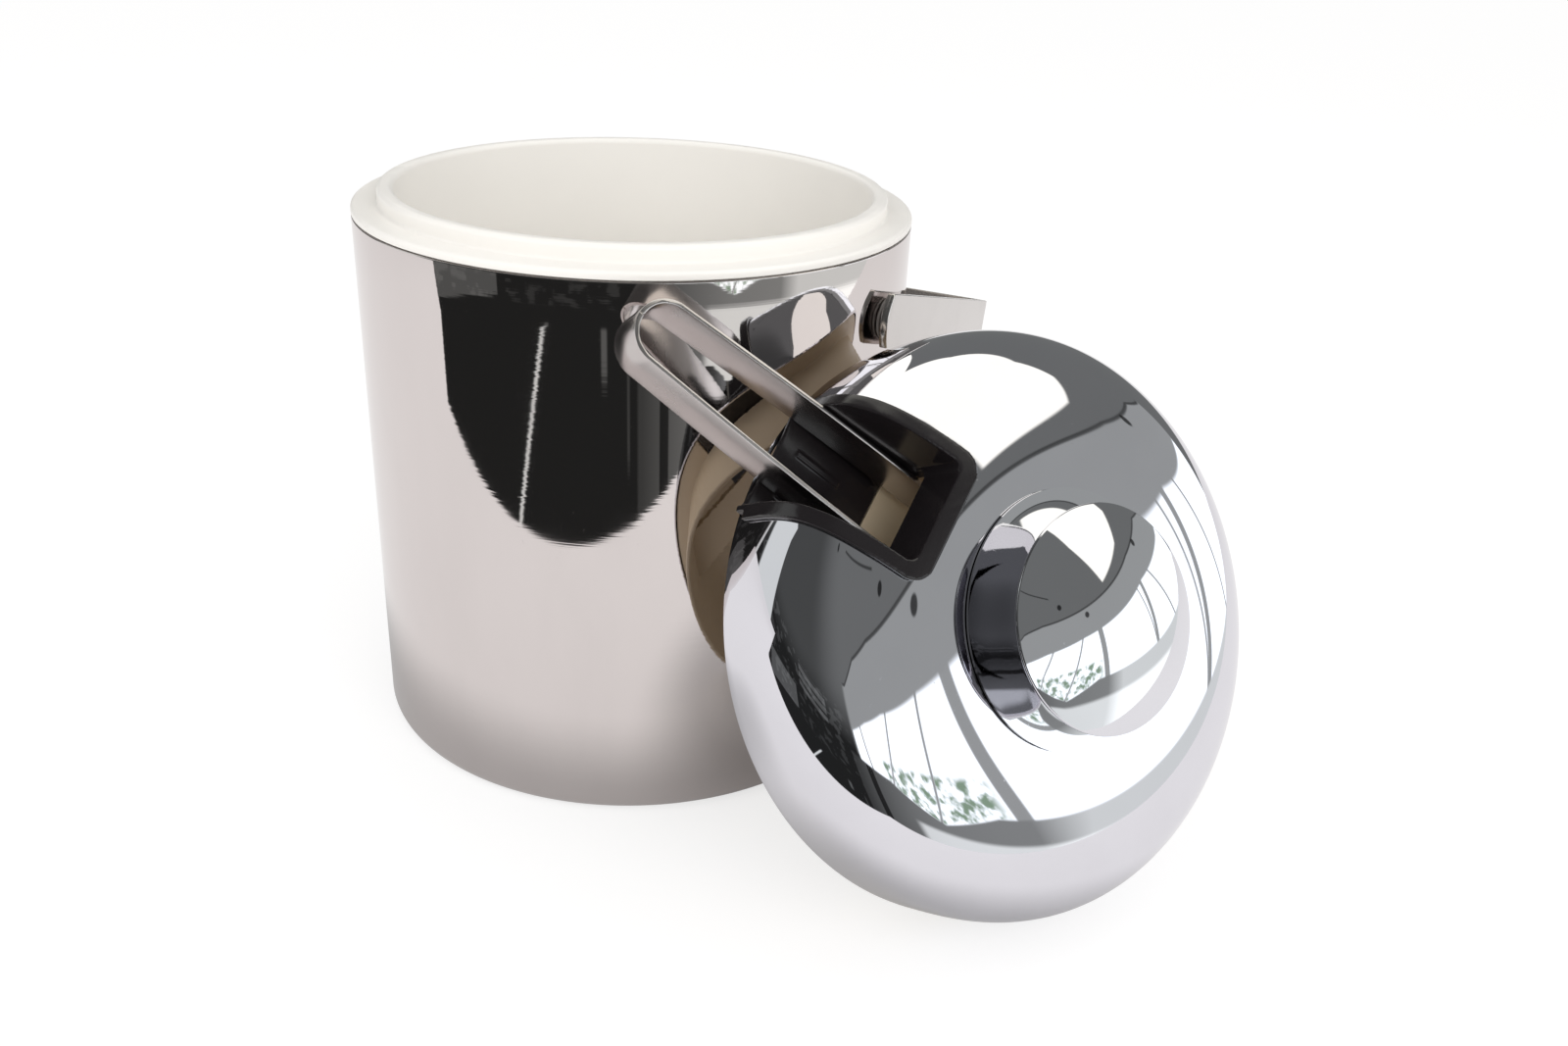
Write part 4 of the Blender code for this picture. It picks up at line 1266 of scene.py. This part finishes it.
# Studio
@dataclass
class Studio:
    """White sweep, soft lights, room tone and the camera."""

    lens: float = 31.59
    eye: Point = (0.0, -0.36589, 0.22476)
    right: Point = (0.99438, -0.09616, 0.04441)
    upward: Point = (0.00153, 0.43218, 0.90184)
    ahead: Point = (0.1059, 0.8967, -0.4299)
    floor_size: float = 12.0
    floor_glow: float = 0.62
    lamp_size: float = 0.9
    lamp_aim: Point = (0.0, 0.0, 0.08)

    def set_camera(self) -> None:
        """Places the camera."""
        data = bpy.data.cameras.new("photo_camera")
        data.sensor_width = 36.0
        data.lens = self.lens
        data.clip_start = 0.01
        camera = bpy.data.objects.new("photo_camera", data)
        bpy.context.scene.collection.objects.link(camera)
        back = -Vector(self.ahead)
        turn = Matrix((self.right, self.upward, back)).transposed().to_4x4()
        camera.matrix_world = Matrix.Translation(self.eye) @ turn
        bpy.context.scene.camera = camera

    def lay_sweep(self) -> None:
        """Lays the pale floor; mirrors see it end in front of the bucket, and all but camera rays see painted
        shadow in its glow near the bucket and the lid.
        """
        bpy.ops.object.select_all(action="DESELECT")
        bpy.ops.mesh.primitive_plane_add(size=self.floor_size)
        floor = bpy.context.object
        floor.name = "sweep"
        material = bpy.data.materials.new("sweep_paper")
        material.use_nodes = True
        book = NodeBook(material.node_tree)
        parts = book.add("ShaderNodeSeparateXYZ", {}, {0: book.place()})
        across, along = Shade(book, parts.outputs[0]), Shade(book, parts.outputs[1])
        front, left, right = ((along + across * slope + reach).eased(-0.002, 0.002)
                              for slope, reach in ((0.469, 0.25), (-0.085, 0.065), (-0.54, 0.329)))
        paper = front.most(left) * right
        camera, mirrored = book.rays()
        seen = (1.0 - mirrored).most(paper)
        white = (0.97, 0.96, 0.955, 1.0)
        # Painted shadow: for all but camera rays the floor's glow darkens near the bucket's foot and under
        # the lid, so mirrors show a shadow there.
        bucket_painted_shadow = ((across ** 2 + along ** 2) ** 0.5).eased(0.080, 0.120, 0.40, 1.0)
        lid_painted_shadow = (((across - 0.07) ** 2 + (along + 0.10) ** 2) ** 0.5).eased(0.03, 0.08, 0.35, 1.0)
        painted_shadow_tone = book.mix_colour(bucket_painted_shadow * lid_painted_shadow, (0.0, 0.0, 0.0, 1.0), white)
        shine = book.mix_colour(camera, painted_shadow_tone, (1.12, 1.12, 1.12, 1.0))
        matt = book.add("ShaderNodeBsdfDiffuse", {}, {"Color": white})
        glow = book.add("ShaderNodeEmission", {}, {"Color": shine, "Strength": 1.0})
        sheet = book.add("ShaderNodeMixShader", {}, {
            0: self.floor_glow, 1: matt.outputs[0], 2: glow.outputs[0]})
        clear = book.add("ShaderNodeBsdfTransparent")
        mixed = book.add("ShaderNodeMixShader", {}, {0: seen, 1: clear.outputs[0], 2: sheet.outputs[0]})
        book.add("ShaderNodeOutputMaterial", {}, {"Surface": mixed.outputs[0]})
        Bench.dressed(floor, material)

    @staticmethod
    def window_light(bearing: Shade, rise: Shade) -> tuple[Shade, Shade]:
        """The row of windows: bright panes between posts and thin bars.

        Args:
            bearing: Degrees from the front to the right.
            rise: Degrees above the horizon.

        Returns:
            The mask of the row and the mask of its glass.
        """
        top = bearing.bent((7.0, 6.5), (18.0, 10.0), (30.0, 12.4), (49.0, 13.8), (90.0, 14.0),
                           (120.0, 8.0))
        sill = bearing.bent((7.0, -1.0), (22.0, -2.0), (38.0, -8.4), (53.0, -3.6), (100.0, -6.0))
        row = top.past(rise) * rise.past(sill) * bearing.past(6.8) * (120.0 - bearing).past(0.0)
        glass = row
        for foot, lean, half in ((57.5, 0.0, 1.3), (88.5, 0.0, 0.9), (13.6, 0.0, 0.4), (25.0, 0.61, 0.4),
                                 (41.0, 0.5, 0.4), (87.0, -0.15, 0.3), (101.5, -0.42, 0.4)):
            glass = glass * (1.0 - (bearing - rise * lean - foot).within(half))
        return row, glass

    @staticmethod
    def room_tone(book: NodeBook, way: bpy.types.NodeSocket, bearing: Shade, rise: Shade) -> Shade:
        """Tone of the walls and the ceiling, without the windows.

        Args:
            book: The world's node book.
            way: The direction as a vector.
            bearing: Degrees from the front to the right.
            rise: Degrees above the horizon.

        Returns:
            The tone.
        """
        seam = bearing.bent((8.0, 17.0), (18.0, 22.4), (30.0, 24.2), (90.0, 23.8), (110.0, 21.2),
                            (120.0, 16.0))
        right = bearing.past(6.0, 3.0)
        wall = seam.past(rise) * rise.past(0.0) * right * (121.0 - bearing).past(0.0)
        ceiling = bearing.eased(-30.0, 12.0, 0.08, 0.185)
        dark_side = rise.eased(-4.0, 18.0, 0.024, 1.0)
        left_tone = ceiling * (dark_side.most(right))
        tone = left_tone * (1.0 - wall) + wall * 0.40
        joint = (rise - seam).within(0.35) * right * (121.0 - bearing).past(0.0)
        slope = (rise + bearing * 0.48 - 51.5).within(0.3) * bearing.past(14.0) * (37.0 - bearing).past(0.0)
        tone = tone * (1.0 - joint.most(slope) * 0.7)
        for place in ((41.0, 29.0), (53.6, 21.4), (98.8, 21.6), (4.0, 47.6)):
            spot = ((bearing - place[0]) ** 2 + (rise - place[1]) ** 2).eased(0.8, 1.8, 1.0, 0.0)
            tone = tone * (1.0 - spot * 0.85)
        low = (0.0 - rise).past(1.0, 2.0) * bearing.past(0.0, 2.0)
        sill = bearing.bent((2.0, 0.06), (36.0, 0.26), (58.0, 0.30), (66.0, 0.85))
        sill = sill * (1.0 - (bearing - 10.8).within(1.8) * 0.8)
        tone = tone * (1.0 - low) + sill * low
        shelf = (rise - 5.0).within(4.0) * (bearing + 33.0).within(16.0) * rise.wrapped(2.7).eased(0.6, 1.0)
        bench = (rise + 8.5 - (bearing + 72.0) * 0.12).within(4.2) * (bearing + 72.5).within(17.5)
        clutter = book.noise(book.stretched(way, (9.0, 9.0, 26.0)), 1.0, 2.0).eased(0.52, 0.58)
        clutter = clutter * (rise + 1.0).within(11.0, 3.0) * (bearing + 62.0).within(62.0, 8.0)
        return tone + shelf * 0.09 + bench * 0.11 + clutter * 0.045

    @staticmethod
    def low_streaks(bearing: Shade, rise: Shade) -> Shade:
        """Thin lights low in front, seen in the bucket's wall.

        Args:
            bearing: Degrees from the front to the right.
            rise: Degrees above the horizon.

        Returns:
            Their tone.
        """
        bright = (bearing + 38.0 - (rise + 18.0) * 1.6).within(0.7, 0.8) * (rise + 21.5).within(4.6, 2.0)
        faint = (bearing + 13.0).within(1.2, 1.2) * (rise + 18.2).within(1.6, 1.5)
        thin = (bearing + 3.5).within(0.6, 0.8) * (rise + 20.5).within(3.0, 2.0)
        far_paper = bearing.past(27.0, 4.0) * (-11.5 - rise).past(0.0, 2.0)
        return bright * 0.9 + faint * 0.13 + thin * 0.06 + far_paper * 0.70

    def tone_world(self) -> None:
        """White for the camera, plain light, and a grey room in mirrors."""
        world = bpy.data.worlds.new("room")
        bpy.context.scene.world = world
        world.use_nodes = True
        book = NodeBook(world.node_tree)
        way = book.add("ShaderNodeTexCoord").outputs["Generated"]
        parts = book.add("ShaderNodeSeparateXYZ", {}, {0: way})
        across, along, upward = (Shade(book, socket) for socket in parts.outputs)
        bearing = book.maths("ARCTAN2", across, 0.0 - along) * (180.0 / math.pi)
        rise = book.maths("ARCSINE", upward) * (180.0 / math.pi)
        row, glass = self.window_light(bearing, rise)
        panel_left = rise.bent((27.0, 69.2), (35.0, 68.0), (45.0, 66.0), (60.0, 65.6))
        panel_low = bearing.bent((69.0, 27.0), (90.0, 29.6), (102.0, 35.6), (112.0, 45.0), (148.0, 55.8))
        panel = bearing.past(panel_left).most((-150.0 - bearing).past(0.0)) * rise.past(panel_low)
        board_edge = rise.bent((-3.0, -94.0), (16.0, -91.4), (30.0, -90.0), (37.0, -86.7))
        board = bearing.past(-120.0, 2.0) * board_edge.past(bearing) * (37.0 - rise).past(0.0)
        tone = self.room_tone(book, way, bearing, rise) * (1.0 - row) + row * 0.42
        tone = (tone + self.low_streaks(bearing, rise)).most(0.02) * (1.0 - board) + board * 0.84
        trees = glass * (rise - bearing * 0.02).eased(1.6, 3.0, 1.0, 0.0) * (bearing - 38.0).within(17.0, 3.0)
        daylight = book.mix_colour(trees * book.noise(way, 24.0, 3.0).eased(0.40, 0.62),
                                   (1.62, 1.72, 1.78, 1.0), (0.30, 0.42, 0.30, 1.0))
        room = book.add("ShaderNodeCombineColor", {}, {0: tone * 0.96, 1: tone, 2: tone * 0.98})
        room = book.mix_colour(panel, room.outputs[0], (1.45, 1.44, 1.32, 1.0))
        room = book.mix_colour(glass, room, daylight)
        camera, mirrored = book.rays()
        plain = book.mix_colour(mirrored, (0.80, 0.80, 0.80, 1.0), room)
        colour = book.mix_colour(camera, plain, (1.0, 1.0, 1.0, 1.0))
        glow = book.add("ShaderNodeBackground", {}, {"Color": colour, "Strength": 1.0})
        book.add("ShaderNodeOutputWorld", {}, {"Surface": glow.outputs[0]})

    def hang_lights(self) -> None:
        """Hangs two soft panels that shade the form."""
        for name, place, watts in (("key_panel", (0.42, -1.00, 0.72), 5.2),
                                   ("fill_panel", (-0.8, -0.5, 0.80), 2.4)):
            data = bpy.data.lights.new(name, "AREA")
            data.shape = "DISK"
            data.size = self.lamp_size
            data.energy = watts
            lamp = bpy.data.objects.new(name, data)
            bpy.context.scene.collection.objects.link(lamp)
            lamp.location = place
            way = Vector(self.lamp_aim) - Vector(place)
            lamp.rotation_euler = way.to_track_quat("-Z", "Y").to_euler()
            lamp.visible_glossy = False

    def build(self) -> None:
        """Sets up floor, world, lamps and camera."""
        self.lay_sweep()
        self.tone_world()
        self.hang_lights()
        self.set_camera()
        bpy.context.scene.view_settings.view_transform = "Standard"


def finish_piece(piece: bpy.types.Object, body: str, look: str,
                 looks: dict[str, bpy.types.Material], *nodes: str) -> None:
    """Dresses a finished piece and fixes it to its body.

    Args:
        piece: The piece.
        body: The body it rides on.
        look: Its material's name.
        looks: The materials by name.
        nodes: The CAD nodes it stands for.
    """
    Bench.dressed(piece, looks[look])
    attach(piece, body)
    if nodes:
        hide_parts(*nodes)
    log.info("made %s", piece.name)


def dress_node(node: str, look: str, looks: dict[str, bpy.types.Material]) -> None:
    """Gives a CAD node that stays its material.

    Args:
        node: The node's name.
        look: Its material's name.
        looks: The materials by name.
    """
    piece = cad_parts[node]
    for slot in piece.material_slots:
        slot.material = looks[look]
    log.info("dressed %s", node)


def make_looks(lid: Lid) -> dict[str, bpy.types.Material]:
    """Builds every material.

    Args:
        lid: The lid, whose frame turns the patterns of its pieces.

    Returns:
        The materials by name.
    """
    home = lid.place().inverted()
    turn, shift = tuple(home.to_euler()), tuple(home.translation)
    finishes = {
        "shell": MirrorSteel("polished_shell", (0.68, 0.63, 0.62), 0.03,
                             line_depth=0.006 * MM, line_scale=1000.0),
        "dome": MirrorSteel("chromed_dome", (0.73, 0.72, 0.765), 0.02, turn, shift, 0.000004 * MM, 900.0),
        "knob": MirrorSteel("chromed_knob", (0.74, 0.735, 0.775), 0.025, turn, shift, 0.000006 * MM, 1500.0),
        "strap": SatinSteel("strap_steel", (0.63, 0.60, 0.585), 0.16, (0.0, 0.0, math.radians(30.0))),
        "strip": SatinSteel("strip_steel", (0.58, 0.54, 0.53), 0.22, turn, shift, (60.0, 60.0, 1200.0)),
        "liner": MouldedPlastic("white_plastic_skin", (0.89, 0.865, 0.82), 0.36, mottle=0.02),
        "lid_liner": MouldedPlastic("tan_plastic_skin", (0.59, 0.49, 0.35), 0.42),
        "moulding": MouldedPlastic("black_plastic_skin", (0.012, 0.010, 0.011), 0.16),
        "foam": CellFoam("blown_foam", (0.80, 0.76, 0.62), 0.95),
        "pad": MouldedPlastic("foot_pad_rubber", (0.05, 0.05, 0.055), 0.8, mottle=0.2),
        "acetal": MouldedPlastic("bush_acetal", (0.72, 0.72, 0.70), 0.4),
    }
    return {name: finish.make() for name, finish in finishes.items()}


def main() -> None:
    """Builds the whole scene in order."""
    logging.basicConfig(level=logging.INFO, format="%(name)s: %(message)s")
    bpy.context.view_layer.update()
    lid = Lid()
    looks = make_looks(lid)
    bucket = Bucket()
    bucket.build(looks)
    Bail(bucket).build(looks)
    lid.build(looks)
    Tongs(lid).build(looks)
    Studio().build()
    log.info("sizes written")


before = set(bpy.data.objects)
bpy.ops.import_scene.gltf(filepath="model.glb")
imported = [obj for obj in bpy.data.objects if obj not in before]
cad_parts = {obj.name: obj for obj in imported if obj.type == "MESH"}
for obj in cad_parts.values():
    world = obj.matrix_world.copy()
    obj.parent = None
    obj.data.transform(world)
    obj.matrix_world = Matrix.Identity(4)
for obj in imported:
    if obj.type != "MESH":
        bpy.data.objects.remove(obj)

if __name__ == "__main__":
    main()
